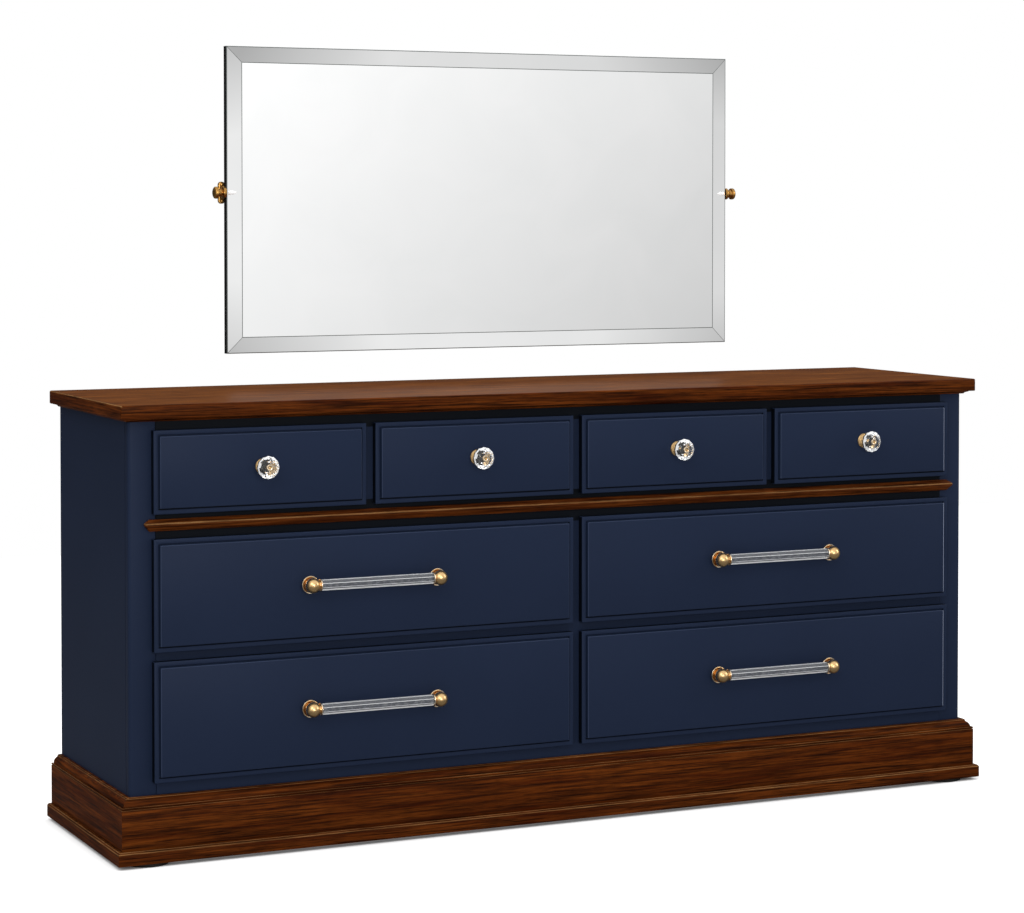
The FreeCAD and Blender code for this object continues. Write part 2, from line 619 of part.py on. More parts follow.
def bolt_profile():
    """The bolt behind a knob or pull: head inside the drawer, shank through both boards."""
    end = f"-({BOLT_TAIL} + bolt_head_height)"
    return [(end, "0"), (end, "bolt_head_diameter / 2"), (f"-{BOLT_TAIL}", "bolt_head_diameter / 2"),
            (f"-{BOLT_TAIL}", "bolt_diameter / 2"), ("0", "bolt_diameter / 2")]


def knob(label, x, z):
    """A clear knob on a brass rosette, with a brass core and cap through its middle."""
    bore = "core_diameter / 2 + core_clearance"
    clear = [("knob_heel", bore), ("knob_heel", "knob_heel_diameter / 2"),
             ("knob_widest", "knob_diameter / 2"), ("knob_widest + knob_girdle", "knob_diameter / 2"),
             ("knob_face", "knob_face_diameter / 2"), ("knob_face", bore)]
    keep(turned(label + "_clear", clear, TO_FRONT_TURNED, x, "field_reach", z), label)
    brass = bolt_profile() + [
        ("0", "knob_rosette_diameter / 2"), ("knob_rosette_thickness", "knob_rosette_diameter / 2"),
        ("knob_rosette_thickness", "knob_neck_diameter / 2"), ("knob_heel", "knob_neck_diameter / 2"),
        ("knob_heel", "core_diameter / 2"), ("knob_face", "core_diameter / 2"),
        ("knob_face", "core_cap_diameter / 2"), ("knob_face + core_cap_height", "core_cap_diameter / 2"),
        ("knob_face + core_cap_height", "0")]
    keep(turned(label + "_brass", brass, TO_FRONT_TURNED, x, "field_reach", z), label + "_mount")


ROD_SIDES = 8
HALF_SIDE = 180 / ROD_SIDES


def pull(label, x, z):
    """A clear eight-sided rod between two brass balls, each on a hollow rosette bolted to the front."""
    flat_forward = TO_X.multiply(FreeCAD.Rotation(UP, HALF_SIDE))
    rod = turn(doc.addObject("Part::Prism", label + "_bar"), flat_forward)
    rod.Polygon = ROD_SIDES
    bind(rod, Circumradius=f"rod_diameter / 2 / cos({HALF_SIDE} deg)", Height="pull_spacing - 2 * rod_start")
    keep(place(rod, f"{x} - pull_spacing / 2 + rod_start", "pull_axis", z), label + "_rod")
    stand = bolt_profile() + [
        ("0", "pull_rosette_base / 2"), ("pull_rosette_thickness", "pull_rosette_diameter / 2"),
        ("pull_rosette_thickness", "pull_rosette_diameter / 2 - pull_rosette_rim"),
        ("pull_rosette_floor", "pull_neck_diameter / 2"), ("pull_reach", "pull_neck_diameter / 2"),
        ("pull_reach", "0")]
    posts = []
    for side, sign in (("left", 1), ("right", -1)):
        name = f"{label}_{side}"
        centre = f"{x} - {sign} * pull_spacing / 2"
        ball = turn(doc.addObject("Part::Sphere", name + "_ball"), TO_X)
        bind(ball, Radius="ball_diameter / 2")
        place(ball, centre, "pull_axis", z)
        neck_x = centre if sign > 0 else f"{centre} - rod_start"
        collar_x = f"{centre} + collar_start" if sign > 0 else f"{centre} - rod_start"
        neck = cylinder(name + "_neck", "pull_neck_diameter", "rod_start", TO_X, neck_x, "pull_axis", z)
        collar = cylinder(name + "_collar", "collar_diameter", "collar_length", TO_X, collar_x,
                          "pull_axis", z)
        post = turned(name + "_stand", stand, TO_FRONT_TURNED, centre, "field_reach", z)
        posts.append(fused(name + "_post", [ball, neck, collar, post]))
    keep(group(label + "_post_pair", posts), label + "_posts")


def drawers():
    """Eight drawers: four small ones with knobs above, four wide ones with pulls below."""
    runners = []

    def drawer(label, x, width, low, high, walls, bolts, rise):
        drawer_front(label + "_front", x, width, low, high, bolts, rise)
        drawer_box(label + "_box", x, width, low, high, bolts, rise)
        runners.extend(drawer_runners(label, x, width, low, walls))
        return f"({low} + {high}) / 2 + {rise}"

    for i in range(4):
        label = f"upper_drawer_{i + 1}"
        walls = ["-inner_half" if i == 0 else f"{i - 2} * upper_pitch + partition_thickness / 2",
                 "inner_half" if i == 3 else f"{i - 1} * upper_pitch - partition_thickness / 2"]
        x = f"{i - 1.5} * upper_pitch"
        z = drawer(label, x, "upper_width", "upper_bottom", "upper_top", walls, ["0"], "knob_rise")
        knob(label + "_knob", x, z)
    for row in ("middle", "lower"):
        for side, sign, walls in (("left", -1, ["-inner_half", "-partition_thickness / 2"]),
                                  ("right", 1, ["partition_thickness / 2", "inner_half"])):
            label = f"{row}_drawer_{side}"
            x = f"{sign} * lower_pitch / 2"
            bolts = ["-pull_spacing / 2", "pull_spacing / 2"]
            z = drawer(label, x, "lower_width", row + "_bottom", row + "_top", walls, bolts, "pull_rise")
            pull(label + "_pull", x, z)
    keep(group("runner_group", runners), "drawer_runners")


def stadium(name, width, height, thickness, x, reach, z):
    """The pieces of an upright plate with round ends that faces the front."""
    z_span = (f"{z} - ({height} - {width}) / 2", f"{z} + ({height} - {width}) / 2")
    lower, upper = [cylinder(f"{name}_{end}", width, thickness, TO_FRONT, x, reach, end_z)
                    for end, end_z in zip(("lower", "upper"), z_span)]
    x_span = (f"{x} - {width} / 2", f"{x} + {width} / 2")
    return [lower, upper, block(name + "_middle", x_span, (reach, f"{reach} + {thickness}"), z_span)]


SCREW_HOLE = "(block_screw_diameter + 2 * block_screw_clearance)"
SCREW_ROWS = (("lower", "axis_height - block_screw_spacing / 2"),
              ("upper", "axis_height + block_screw_spacing / 2"))


def mirror():
    """Bevelled glass on a black backing board with a hole for each pivot."""
    front = "glass_back + glass_thickness"
    bevel = doc.addObject("Part::Wedge", "glass_bevel")
    bind(bevel, Xmin="-(mirror_half - bevel_width)", Xmax="mirror_half - bevel_width",
         Zmin="bevel_width", Zmax="mirror_height - bevel_width", X2min="-mirror_half", X2max="mirror_half",
         Z2min="0", Z2max="mirror_height", Ymin="0", Ymax="bevel_depth")
    place(bevel, "0", front, "mirror_low")
    across = ("-mirror_half", "mirror_half")
    upright = ("mirror_low", "mirror_low + mirror_height")
    rim = block("glass_rim", across, ("glass_back", f"{front} - bevel_depth"), upright)
    keep(fused("glass", [bevel, rim]), "mirror_glass")
    board = block("backing", across, ("mirror_back", "glass_back"), upright)
    holes = [cylinder(f"spigot_hole_{side}", "spigot_diameter + 2 * spigot_clearance", "spigot_length", TO_X,
                      x, "axis_reach", "axis_height")
             for side, x in (("left", "-mirror_half"), ("right", "mirror_half - spigot_length"))]
    keep(cut("backing_drilled", board, holes), "mirror_backing")


def pivot_stem(name, direction, x):
    """A round stem out of the mirror's side, on a spigot inside the backing board."""
    profile = [("-spigot_length", "0"), ("-spigot_length", "spigot_diameter / 2"),
               ("0", "spigot_diameter / 2"), ("0", "stem_diameter / 2"),
               ("stem_length", "stem_diameter / 2"), ("stem_length", "0")]
    return turned(name, profile, direction, x, "axis_reach", "axis_height")


def pivot_knob(name, direction, x):
    """A stepped knob on the end of a pivot stem."""
    step_end = "(pivot_knob_neck + pivot_knob_step)"
    body_end = f"({step_end} + pivot_knob_body)"
    profile = [("0", "0"), ("0", "pivot_knob_neck_diameter / 2"),
               ("pivot_knob_neck", "pivot_knob_neck_diameter / 2"),
               ("pivot_knob_neck", "pivot_knob_step_diameter / 2"),
               (step_end, "pivot_knob_step_diameter / 2"),
               (step_end, "pivot_knob_diameter / 2"), (body_end, "pivot_knob_diameter / 2"),
               (f"{body_end} + pivot_knob_tip", "pivot_knob_tip_diameter / 2"),
               (f"{body_end} + pivot_knob_tip", "0")]
    return turned(name, profile, direction, x, "axis_reach", "axis_height")


def screw_holes(name, x):
    """Holes for the two screws that hold a bearing block on its wall arm."""
    return [cylinder(f"{name}_{end}", SCREW_HOLE, "block_front - arm_back", TO_FRONT, x, "arm_back", z)
            for end, z in SCREW_ROWS]


def bearing_block(side, x, eye_x):
    """An upright foot plate with round ends and an eye that stands out from its middle."""
    foot = stadium(f"foot_plate_{side}", "block_width", "block_height", "block_thickness", x, "arm_front",
                   "axis_height")
    web = block(f"web_{side}", (eye_x, f"{eye_x} + eye_thickness"), ("arm_front", "axis_reach"),
                ("axis_height - web_height / 2", "axis_height + web_height / 2"))
    eye = cylinder(f"eye_{side}", "eye_diameter", "eye_thickness", TO_X, eye_x, "axis_reach", "axis_height")
    bore = cylinder(f"bore_{side}", "stem_diameter + 2 * stem_clearance", "3 * eye_thickness", TO_X,
                    f"{eye_x} - eye_thickness", "axis_reach", "axis_height")
    whole = fused(f"bearing_{side}_whole", foot + [web, eye])
    return cut(f"bearing_{side}", whole, [bore] + screw_holes(f"foot_plate_hole_{side}", x))


def wall_arm(side, x, flange_x):
    """A flat arm from behind a bearing block to a post with a two-hole flange at the wall."""
    head = stadium(f"arm_head_{side}", "block_width", "block_height", "arm_thickness", x, "arm_back",
                   "axis_height")
    bar = block(f"arm_bar_{side}", (x, flange_x) if side == "left" else (flange_x, x),
                ("arm_back", "arm_front"), ("axis_height - arm_height / 2", "axis_height + arm_height / 2"))
    post = cylinder(f"post_{side}", "post_diameter", "wall_gap + arm_front", TO_FRONT, flange_x, "-wall_gap",
                    "axis_height")
    flange = stadium(f"flange_{side}", "flange_width", "flange_height", "flange_thickness", flange_x,
                     "-wall_gap", "axis_height")
    holes = [cylinder(f"flange_hole_{side}_{end}", "flange_hole_diameter", "3 * flange_thickness", TO_FRONT,
                      flange_x, "-wall_gap - flange_thickness", f"axis_height {step} flange_hole_spacing / 2")
             for end, step in (("lower", "-"), ("upper", "+"))]
    whole = fused(f"arm_{side}_whole", head + flange + [bar, post])
    return cut(f"arm_{side}_drilled", whole, holes + screw_holes(f"arm_hole_{side}", x))


def block_screw(name, x, z):
    """A round-headed screw through a bearing block into its wall arm."""
    tail = "-(block_front - arm_back)"
    profile = [(tail, "0"), (tail, "block_screw_diameter / 2"), ("0", "block_screw_diameter / 2"),
               ("0", "screw_head_diameter / 2"), ("screw_head_height / 2", "screw_head_diameter / 2"),
               ("screw_head_height", "screw_head_diameter / 4"), ("screw_head_height", "0")]
    return turned(name, profile, TO_FRONT_TURNED, x, "block_front", z)


def mirror_pivots():
    """Pivot stems and knobs on the mirror, and the bearing blocks, screws and wall arms that carry them."""
    stems, knobs, brackets, screws = [], [], [], []
    for side, sign, outward in (("left", -1, FreeCAD.Rotation(UP, 180)), ("right", 1, FreeCAD.Rotation())):
        x = f"{sign} * block_x"
        eye_x = "eye_inner" if side == "right" else "-(eye_inner + eye_thickness)"
        stems.append(pivot_stem(f"stem_{side}", outward, f"{sign} * mirror_half"))
        knobs.append(pivot_knob(f"pivot_knob_{side}", outward, f"{sign} * stem_end"))
        brackets += [bearing_block(side, x, eye_x), wall_arm(side, x, f"{sign} * flange_x")]
        screws += [block_screw(f"block_screw_{side}_{end}", x, z) for end, z in SCREW_ROWS]
    keep(group("stem_pair", stems), "pivot_stems")
    keep(group("pivot_knob_pair", knobs), "pivot_knobs")
    keep(group("bracket_group", brackets), "wall_brackets")
    keep(group("block_screw_group", screws), "bearing_screws")


top_slab()
case()
face_frame()
waist_moulding()
slab_cove()
plinth()
drawers()
mirror()
mirror_pivots()
doc.recompute()

for item in doc.Objects:
    if "Invalid" in item.State or "Error" in item.State:
        raise RuntimeError(f"{item.Label} failed: {item.State}")
for item in parts:
    if item.Shape.isNull() or not item.Shape.isValid() or not item.Shape.Solids:
        raise RuntimeError(item.Label + " has no valid solid")

os.makedirs("parts", exist_ok=True)
for item in parts:
    item.Shape.exportStep(f"parts/{item.Label}.step")
    print(item.Label, len(item.Shape.Solids), round(item.Shape.Volume))
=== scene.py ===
import json
import math

import bmesh
import bpy
from mathutils import Matrix, Vector


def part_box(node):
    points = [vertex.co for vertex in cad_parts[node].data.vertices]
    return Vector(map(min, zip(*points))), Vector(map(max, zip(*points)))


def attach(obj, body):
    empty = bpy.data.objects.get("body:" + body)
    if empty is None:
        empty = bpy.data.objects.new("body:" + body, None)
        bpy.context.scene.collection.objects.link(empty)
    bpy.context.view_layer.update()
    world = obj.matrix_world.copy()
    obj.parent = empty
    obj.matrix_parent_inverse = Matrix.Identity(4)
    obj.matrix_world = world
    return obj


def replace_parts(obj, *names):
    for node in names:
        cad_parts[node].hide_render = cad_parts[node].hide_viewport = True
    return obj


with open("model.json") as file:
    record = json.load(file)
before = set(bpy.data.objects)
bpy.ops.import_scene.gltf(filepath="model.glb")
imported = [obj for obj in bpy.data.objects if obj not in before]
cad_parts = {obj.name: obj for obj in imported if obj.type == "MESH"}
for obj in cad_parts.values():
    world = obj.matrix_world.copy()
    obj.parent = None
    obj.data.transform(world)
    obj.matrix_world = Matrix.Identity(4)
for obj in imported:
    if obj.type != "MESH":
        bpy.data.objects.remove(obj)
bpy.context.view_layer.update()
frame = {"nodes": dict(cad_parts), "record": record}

MM = 0.001
RIGHT, FORWARD, UP = Vector((1, 0, 0)), Vector((0, -1, 0)), Vector((0, 0, 1))
record = frame["record"]
BODY = {node: body for body, nodes in record["behaviour"]["bodies"].items() for node in nodes}
SLOT = {part["node"]: part["material_slot"] for part in record["subparts"]}


def linear(code, alpha=1.0):
    """An sRGB hex colour as linear red, green, blue and alpha."""
    channels = [int(code[i:i + 2], 16) / 255 for i in (1, 3, 5)]
    return [c / 12.92 if c <= 0.04045 else ((c + 0.055) / 1.055) ** 2.4 for c in channels] + [alpha]


def repeat(size):
    """The scale of a pattern whose features measure a size in mm."""
    return 1 / (size * MM)


def add(tree, kind, inputs=None, **settings):
    """Add a node with its settings; an input is a number, a colour or another node's output."""
    item = tree.nodes.new("ShaderNode" + kind)
    for name, value in settings.items():
        setattr(item, name, value)
    for socket, value in (inputs or {}).items():
        if isinstance(value, bpy.types.NodeSocket):
            tree.links.new(value, item.inputs[socket])
        else:
            item.inputs[socket].default_value = value
    return item


# Sockets of the Mix node, for colours, for vectors and for plain numbers.
FACTOR, FIRST, SECOND, MIXED = 0, 6, 7, 2
FIRST_VECTOR, SECOND_VECTOR, MIXED_VECTOR = 4, 5, 1
FIRST_NUMBER, SECOND_NUMBER, MIXED_NUMBER = 2, 3, 0


def finish(name, **sockets):
    """A new material with its tree and its surface shader, whose constant sockets are set here."""
    material = bpy.data.materials.new(name)
    material.use_nodes = True
    tree = material.node_tree
    shader = tree.nodes["Principled BSDF"]
    for socket, value in sockets.items():
        shader.inputs[socket.replace("_", " ")].default_value = value
    return material, tree, shader


def wire(tree, shader, tone, rough=None, bump=None):
    """Link the nodes that give a surface its colour, its roughness and its bump."""
    tree.links.new(tone.outputs[MIXED], shader.inputs["Base Color"])
    if rough:
        tree.links.new(rough.outputs["Result"], shader.inputs["Roughness"])
    if bump:
        tree.links.new(bump.outputs["Normal"], shader.inputs["Normal"])


def satin_enamel(name, dark, light):
    """Sprayed satin enamel: an even navy with a low sheen, faintly uneven where the spray overlapped."""
    material, tree, shader = finish(name, IOR=1.5, Specular_IOR_Level=0.08)
    place = add(tree, "TexCoord").outputs["Object"]
    cloud = add(tree, "TexNoise", {"Vector": place, "Scale": repeat(220), "Detail": 3})
    peel = add(tree, "TexNoise", {"Vector": place, "Scale": repeat(2.2), "Detail": 2})
    tone = add(tree, "Mix", {FACTOR: cloud.outputs["Fac"], FIRST: linear(dark), SECOND: linear(light)},
               data_type="RGBA")
    sheen = add(tree, "MapRange", {"Value": peel.outputs["Fac"], "To Min": 0.40, "To Max": 0.50})
    bump = add(tree, "Bump", {"Height": peel.outputs["Fac"], "Strength": 0.05, "Distance": 0.4 * MM})
    wire(tree, shader, tone, sheen, bump)
    return material


def along_grain(tree):
    """Object coordinates whose first axis follows the boards: along the front, or back along the sides."""
    place = add(tree, "TexCoord").outputs["Object"]
    normal = add(tree, "SeparateXYZ", {"Vector": add(tree, "NewGeometry").outputs["True Normal"]})
    sideways = add(tree, "Math", {0: normal.outputs["X"]}, operation="ABSOLUTE")
    is_side = add(tree, "Math", {0: sideways.outputs[0], 1: 0.7}, operation="GREATER_THAN")
    turned = add(tree, "Mapping", {"Vector": place, "Rotation": (0, 0, math.pi / 2)})
    both = add(tree, "Mix", {FACTOR: is_side.outputs[0], FIRST_VECTOR: place,
                             SECOND_VECTOR: turned.outputs["Vector"]}, data_type="VECTOR")
    return both.outputs[MIXED_VECTOR]


def stained_walnut(name, dark, light, vein):
    """Stained walnut under thin satin lacquer: red-brown, long dark veins, fine open pores."""
    material, tree, shader = finish(name, IOR=1.5, Specular_IOR_Level=0.03)
    grain = along_grain(tree)
    figure = add(tree, "TexNoise", {"Vector": add(tree, "Mapping", {
        "Vector": grain, "Scale": (repeat(300), repeat(40), repeat(14))}).outputs["Vector"],
        "Scale": 1, "Detail": 5, "Roughness": 0.6, "Distortion": 0.8})
    streak = add(tree, "TexNoise", {"Vector": add(tree, "Mapping", {
        "Vector": grain, "Scale": (repeat(130), repeat(8), repeat(3.2))}).outputs["Vector"],
        "Scale": 1, "Detail": 4, "Roughness": 0.65})
    # Walnut pores are about 0.2 mm wide, and are drawn 1 mm wide so that they show.
    pore = add(tree, "TexNoise", {"Vector": add(tree, "Mapping", {
        "Vector": grain, "Scale": (repeat(30), repeat(1), repeat(1))}).outputs["Vector"],
        "Scale": 1, "Detail": 2})
    depth = add(tree, "MapRange", {"Value": figure.outputs["Fac"], "From Min": 0.32, "From Max": 0.68})
    body = add(tree, "Mix", {FACTOR: depth.outputs["Result"], FIRST: linear(dark), SECOND: linear(light)},
               data_type="RGBA")
    line = add(tree, "MapRange", {"Value": streak.outputs["Fac"], "From Min": 0.35, "From Max": 0.6})
    streaked = add(tree, "Mix", {FACTOR: line.outputs["Result"], FIRST: linear(vein),
                                 SECOND: body.outputs[MIXED]}, data_type="RGBA")
    open_pore = add(tree, "MapRange", {"Value": pore.outputs["Fac"], "From Min": 0.30, "From Max": 0.48,
                                       "To Min": 0.4, "To Max": 1.0})
    colour = add(tree, "Mix", {FACTOR: 1.0, FIRST: streaked.outputs[MIXED],
                               SECOND: open_pore.outputs["Result"]},
                 data_type="RGBA", blend_type="MULTIPLY")
    sheen = add(tree, "MapRange", {"Value": streak.outputs["Fac"], "To Min": 0.32, "To Max": 0.46})
    bump = add(tree, "Bump", {"Height": open_pore.outputs["Result"], "Strength": 0.12,
                              "Distance": 0.3 * MM})
    wire(tree, shader, colour, sheen, bump)
    return material


def planed_birch():
    """Planed birch boards inside the case: pale, close-grained, almost dull."""
    material, tree, shader = finish("planed_birch", IOR=1.5, Specular_IOR_Level=0.3)
    grain = along_grain(tree)
    ring = add(tree, "TexNoise", {"Vector": add(tree, "Mapping", {
        "Vector": grain, "Scale": (repeat(500), repeat(20), repeat(20))}).outputs["Vector"],
        "Scale": 1, "Detail": 5, "Roughness": 0.55, "Distortion": 0.8})
    fibre = add(tree, "TexNoise", {"Vector": add(tree, "Mapping", {
        "Vector": grain, "Scale": (repeat(60), repeat(1.2), repeat(1.2))}).outputs["Vector"],
        "Scale": 1, "Detail": 3})
    broad = add(tree, "MapRange", {"Value": ring.outputs["Fac"], "From Min": 0.3, "From Max": 0.7})
    plain = add(tree, "Mix", {FACTOR: broad.outputs["Result"], FIRST: linear("#B98F5E"),
                              SECOND: linear("#D8B583")}, data_type="RGBA")
    thread = add(tree, "MapRange", {"Value": fibre.outputs["Fac"], "From Min": 0.3, "From Max": 0.6,
                                    "To Min": 0.82, "To Max": 1.0})
    colour = add(tree, "Mix", {FACTOR: 1.0, FIRST: plain.outputs[MIXED], SECOND: thread.outputs["Result"]},
                 data_type="RGBA", blend_type="MULTIPLY")
    dull = add(tree, "MapRange", {"Value": fibre.outputs["Fac"], "To Min": 0.5, "To Max": 0.65})
    bump = add(tree, "Bump", {"Height": fibre.outputs["Fac"], "Strength": 0.1, "Distance": 0.3 * MM})
    wire(tree, shader, colour, dull, bump)
    return material


def turned_brass(name, dark, light, rough_low):
    """Turned brass: warm, soft highlights and a little handling haze; a paler copy paints the highlights on
    rims.
    """
    material, tree, shader = finish(name, Metallic=1.0)
    place = add(tree, "TexCoord").outputs["Object"]
    haze = add(tree, "TexNoise", {"Vector": place, "Scale": repeat(12), "Detail": 4})
    grit = add(tree, "TexNoise", {"Vector": place, "Scale": repeat(0.8), "Detail": 2})
    tone = add(tree, "Mix", {FACTOR: haze.outputs["Fac"], FIRST: linear(dark), SECOND: linear(light)},
               data_type="RGBA")
    rough = add(tree, "MapRange", {"Value": haze.outputs["Fac"], "From Min": 0.3, "From Max": 0.7,
                                   "To Min": rough_low, "To Max": rough_low + 0.08})
    bump = add(tree, "Bump", {"Height": grit.outputs["Fac"], "Strength": 0.04, "Distance": 0.1 * MM})
    wire(tree, shader, tone, rough, bump)
    return material


def cast_acrylic(name, dark, light, clearness, dull):
    """Cast acrylic: sharp where it is polished, smoky in a thick bar, white where it is frosted; dull white
    copies also paint highlights.
    """
    material, tree, shader = finish(name, IOR=1.49, Transmission_Weight=clearness)
    place = add(tree, "TexCoord").outputs["Object"]
    haze = add(tree, "TexNoise", {"Vector": place, "Scale": repeat(6), "Detail": 3})
    tone = add(tree, "Mix", {FACTOR: haze.outputs["Fac"], FIRST: linear(dark), SECOND: linear(light)},
               data_type="RGBA")
    rough = add(tree, "MapRange", {"Value": haze.outputs["Fac"], "From Min": 0.4, "From Max": 0.7,
                                   "To Min": dull, "To Max": dull + 0.015})
    wire(tree, shader, tone, rough)
    return material


def silvered_glass():
    """Silvered float glass: a clean, perfectly sharp mirror, faintly greyer where it was wiped."""
    material, tree, shader = finish("silvered_glass", Metallic=1.0, Roughness=0.0)
    place = add(tree, "TexCoord").outputs["Object"]
    wipe = add(tree, "TexNoise", {"Vector": place, "Scale": repeat(150), "Detail": 4, "Distortion": 1.0})
    tone = add(tree, "Mix", {FACTOR: wipe.outputs["Fac"], FIRST: linear("#F2F3F3"),
                             SECOND: linear("#FAFAFA")}, data_type="RGBA")
    wire(tree, shader, tone)
    return material


def ground_glass_edge():
    """Ground edge of mirror glass: grey-green, finely scored, half dull."""
    material, tree, shader = finish("ground_glass_edge", IOR=1.52)
    place = add(tree, "TexCoord").outputs["Object"]
    score = add(tree, "TexNoise", {"Vector": place, "Scale": repeat(1.5), "Detail": 3})
    tone = add(tree, "Mix", {FACTOR: score.outputs["Fac"], FIRST: linear("#3C4140"),
                             SECOND: linear("#585E5C")}, data_type="RGBA")
    rough = add(tree, "MapRange", {"Value": score.outputs["Fac"], "To Min": 0.2, "To Max": 0.4})
    wire(tree, shader, tone, rough)
    return material


def black_fibreboard():
    """Fibreboard sealed with matt black paint, slightly fuzzy."""
    material, tree, shader = finish("black_fibreboard", IOR=1.5, Specular_IOR_Level=0.15)
    place = add(tree, "TexCoord").outputs["Object"]
    fuzz = add(tree, "TexNoise", {"Vector": place, "Scale": repeat(2.5), "Detail": 5})
    tone = add(tree, "Mix", {FACTOR: fuzz.outputs["Fac"], FIRST: linear("#0B0B0C"),
                             SECOND: linear("#121213")}, data_type="RGBA")
    rough = add(tree, "MapRange", {"Value": fuzz.outputs["Fac"], "To Min": 0.6, "To Max": 0.8})
    bump = add(tree, "Bump", {"Height": fuzz.outputs["Fac"], "Strength": 0.05, "Distance": 0.3 * MM})
    wire(tree, shader, tone, rough, bump)
    return material


def dark_rubber():
    """Moulded rubber pads: near black, dull, with a fine pebble."""
    material, tree, shader = finish("dark_rubber", IOR=1.52, Specular_IOR_Level=0.3)
    place = add(tree, "TexCoord").outputs["Object"]
    pebble = add(tree, "TexVoronoi", {"Vector": place, "Scale": repeat(2)})
    tone = add(tree, "Mix", {FACTOR: pebble.outputs["Distance"], FIRST: linear("#1C1A18"),
                             SECOND: linear("#100F0E")}, data_type="RGBA")
    rough = add(tree, "MapRange", {"Value": pebble.outputs["Distance"], "To Min": 0.7, "To Max": 0.85})
    bump = add(tree, "Bump", {"Height": pebble.outputs["Distance"], "Strength": 0.2, "Distance": 0.3 * MM})
    wire(tree, shader, tone, rough, bump)
    return material


# Paler copies of the enamel and the walnut paint highlights on rounded arrises; a bright enamel paints the
# glint along the right-hand fronts' edges.
# A near-black copy of the enamel paints the shade on the fronts' outer sides, in quirks and on rails set
# deep.
ENAMEL = satin_enamel("satin_enamel_navy", "#1A2439", "#1E283E")
ENAMEL_HIGHLIGHT = satin_enamel("satin_enamel_edge_highlight", "#2A344A", "#343E54")
ENAMEL_PAINTED_GLINT = satin_enamel("satin_enamel_painted_glint", "#98A2BA", "#A8B2CA")
ENAMEL_PAINTED_SHADE = satin_enamel("satin_enamel_painted_shade", "#060A11", "#080D15")
WALNUT = stained_walnut("stained_walnut", "#421804", "#6B350E", "#220D04")
# The slab's top takes a paler walnut: painted light from above.
WALNUT_TOP_LIT = stained_walnut("stained_walnut_top_lit", "#592C0C", "#804B1A", "#402009")
WALNUT_STRIP = stained_walnut("stained_walnut_strip", "#4A1F08", "#733C16", "#2C1207")
WALNUT_HIGHLIGHT = stained_walnut("stained_walnut_edge_highlight", "#754E2C", "#916B42", "#56361B")
BIRCH = planed_birch()
BRASS = turned_brass("satin_brass", "#E0B67C", "#EECB94", 0.26)
BRASS_AGED = turned_brass("aged_brass", "#B08040", "#C69856", 0.28)
# A paler brass paints the highlights on rims and collars.
BRASS_HIGHLIGHT = turned_brass("brass_painted_highlight", "#EFD6B2", "#F8E6CC", 0.2)
ACRYLIC = cast_acrylic("polished_acrylic", "#F4F6F8", "#FFFFFF", 0.97, 0.0)
ACRYLIC_BAR = cast_acrylic("polished_acrylic_bar", "#787B82", "#84878E", 0.62, 0.0)
# Dull white acrylic paints highlight lines on the knobs and rods.
ACRYLIC_HIGHLIGHT = cast_acrylic("acrylic_painted_highlight", "#F4F6F8", "#FFFFFF", 0.3, 0.25)
ACRYLIC_WHITE = cast_acrylic("frosted_acrylic", "#FCFCFC", "#FFFFFF", 0.0, 0.4)
SILVER, GLASS_EDGE = silvered_glass(), ground_glass_edge()
BLACK, RUBBER = black_fibreboard(), dark_rubber()
FINISH = {"walnut": WALNUT, "navy_paint": ENAMEL, "plain_wood": BIRCH, "dark_pad": RUBBER, "brass": BRASS,
          "clear_acrylic": ACRYLIC, "mirror": SILVER, "black_board": BLACK}

for node, item in frame["nodes"].items():
    item.data.materials.clear()
    item.data.materials.append(FINISH[SLOT[node]])
# These rails lie deep behind the cove and the waist moulding; their near-black enamel paints the shade
# there.
for node in ("top_rail", "waist_rail"):
    frame["nodes"][node].data.materials[0] = ENAMEL_PAINTED_SHADE

# A face takes its piece's own finish, or one of the extra ones that the piece lists.
OWN, EXTRA_1, EXTRA_2, EXTRA_3 = range(4)
# Points this close, in metres, are one point. Edges bent by less than the smooth angle look round, and
# faces that differ by less than the flat angle are one face. Both are in degrees.
SAME_POINT, SMOOTH_ANGLE, FLAT_ANGLE = 1e-6, 35, 1
# From these parts of its unit normal on, a face leans in a direction or looks straight in it.
TILTED, STRAIGHT = 0.2, 0.99


def merge(mesh):
    bmesh.ops.remove_doubles(mesh, verts=mesh.verts, dist=SAME_POINT)


def trim(mesh, name, body, slot, extra=(), smooth=SMOOTH_ANGLE):
    """Make the mesh a piece of its own on a body, with a slot's finish."""
    merge(mesh)
    bmesh.ops.recalc_face_normals(mesh, faces=mesh.faces)
    data = bpy.data.meshes.new(name)
    mesh.to_mesh(data)
    mesh.free()
    for material in [FINISH[slot], *extra]:
        data.materials.append(material)
    if smooth:
        data.shade_smooth()
        data.set_sharp_from_angle(angle=math.radians(smooth))
    piece = bpy.data.objects.new(name, data)
    bpy.context.scene.collection.objects.link(piece)
    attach(piece, body)
    return piece


def stand_in(mesh, node, extra=(), smooth=SMOOTH_ANGLE):
    """Make the mesh a piece that stands for a CAD node, on its body and with its finish."""
    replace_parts(trim(mesh, node + "_shown", BODY[node], SLOT[node], extra, smooth), node)


def board(low, high):
    """A plain board between two corners."""
    mesh = bmesh.new()
    bmesh.ops.create_cube(mesh, size=1, matrix=Matrix.Translation((low + high) / 2)
                          @ Matrix.Diagonal((*(high - low), 1)))
    return mesh


def faces_towards(mesh, direction):
    """The flat faces that look in a direction."""
    return [face for face in mesh.faces if face.normal.dot(direction) > STRAIGHT]


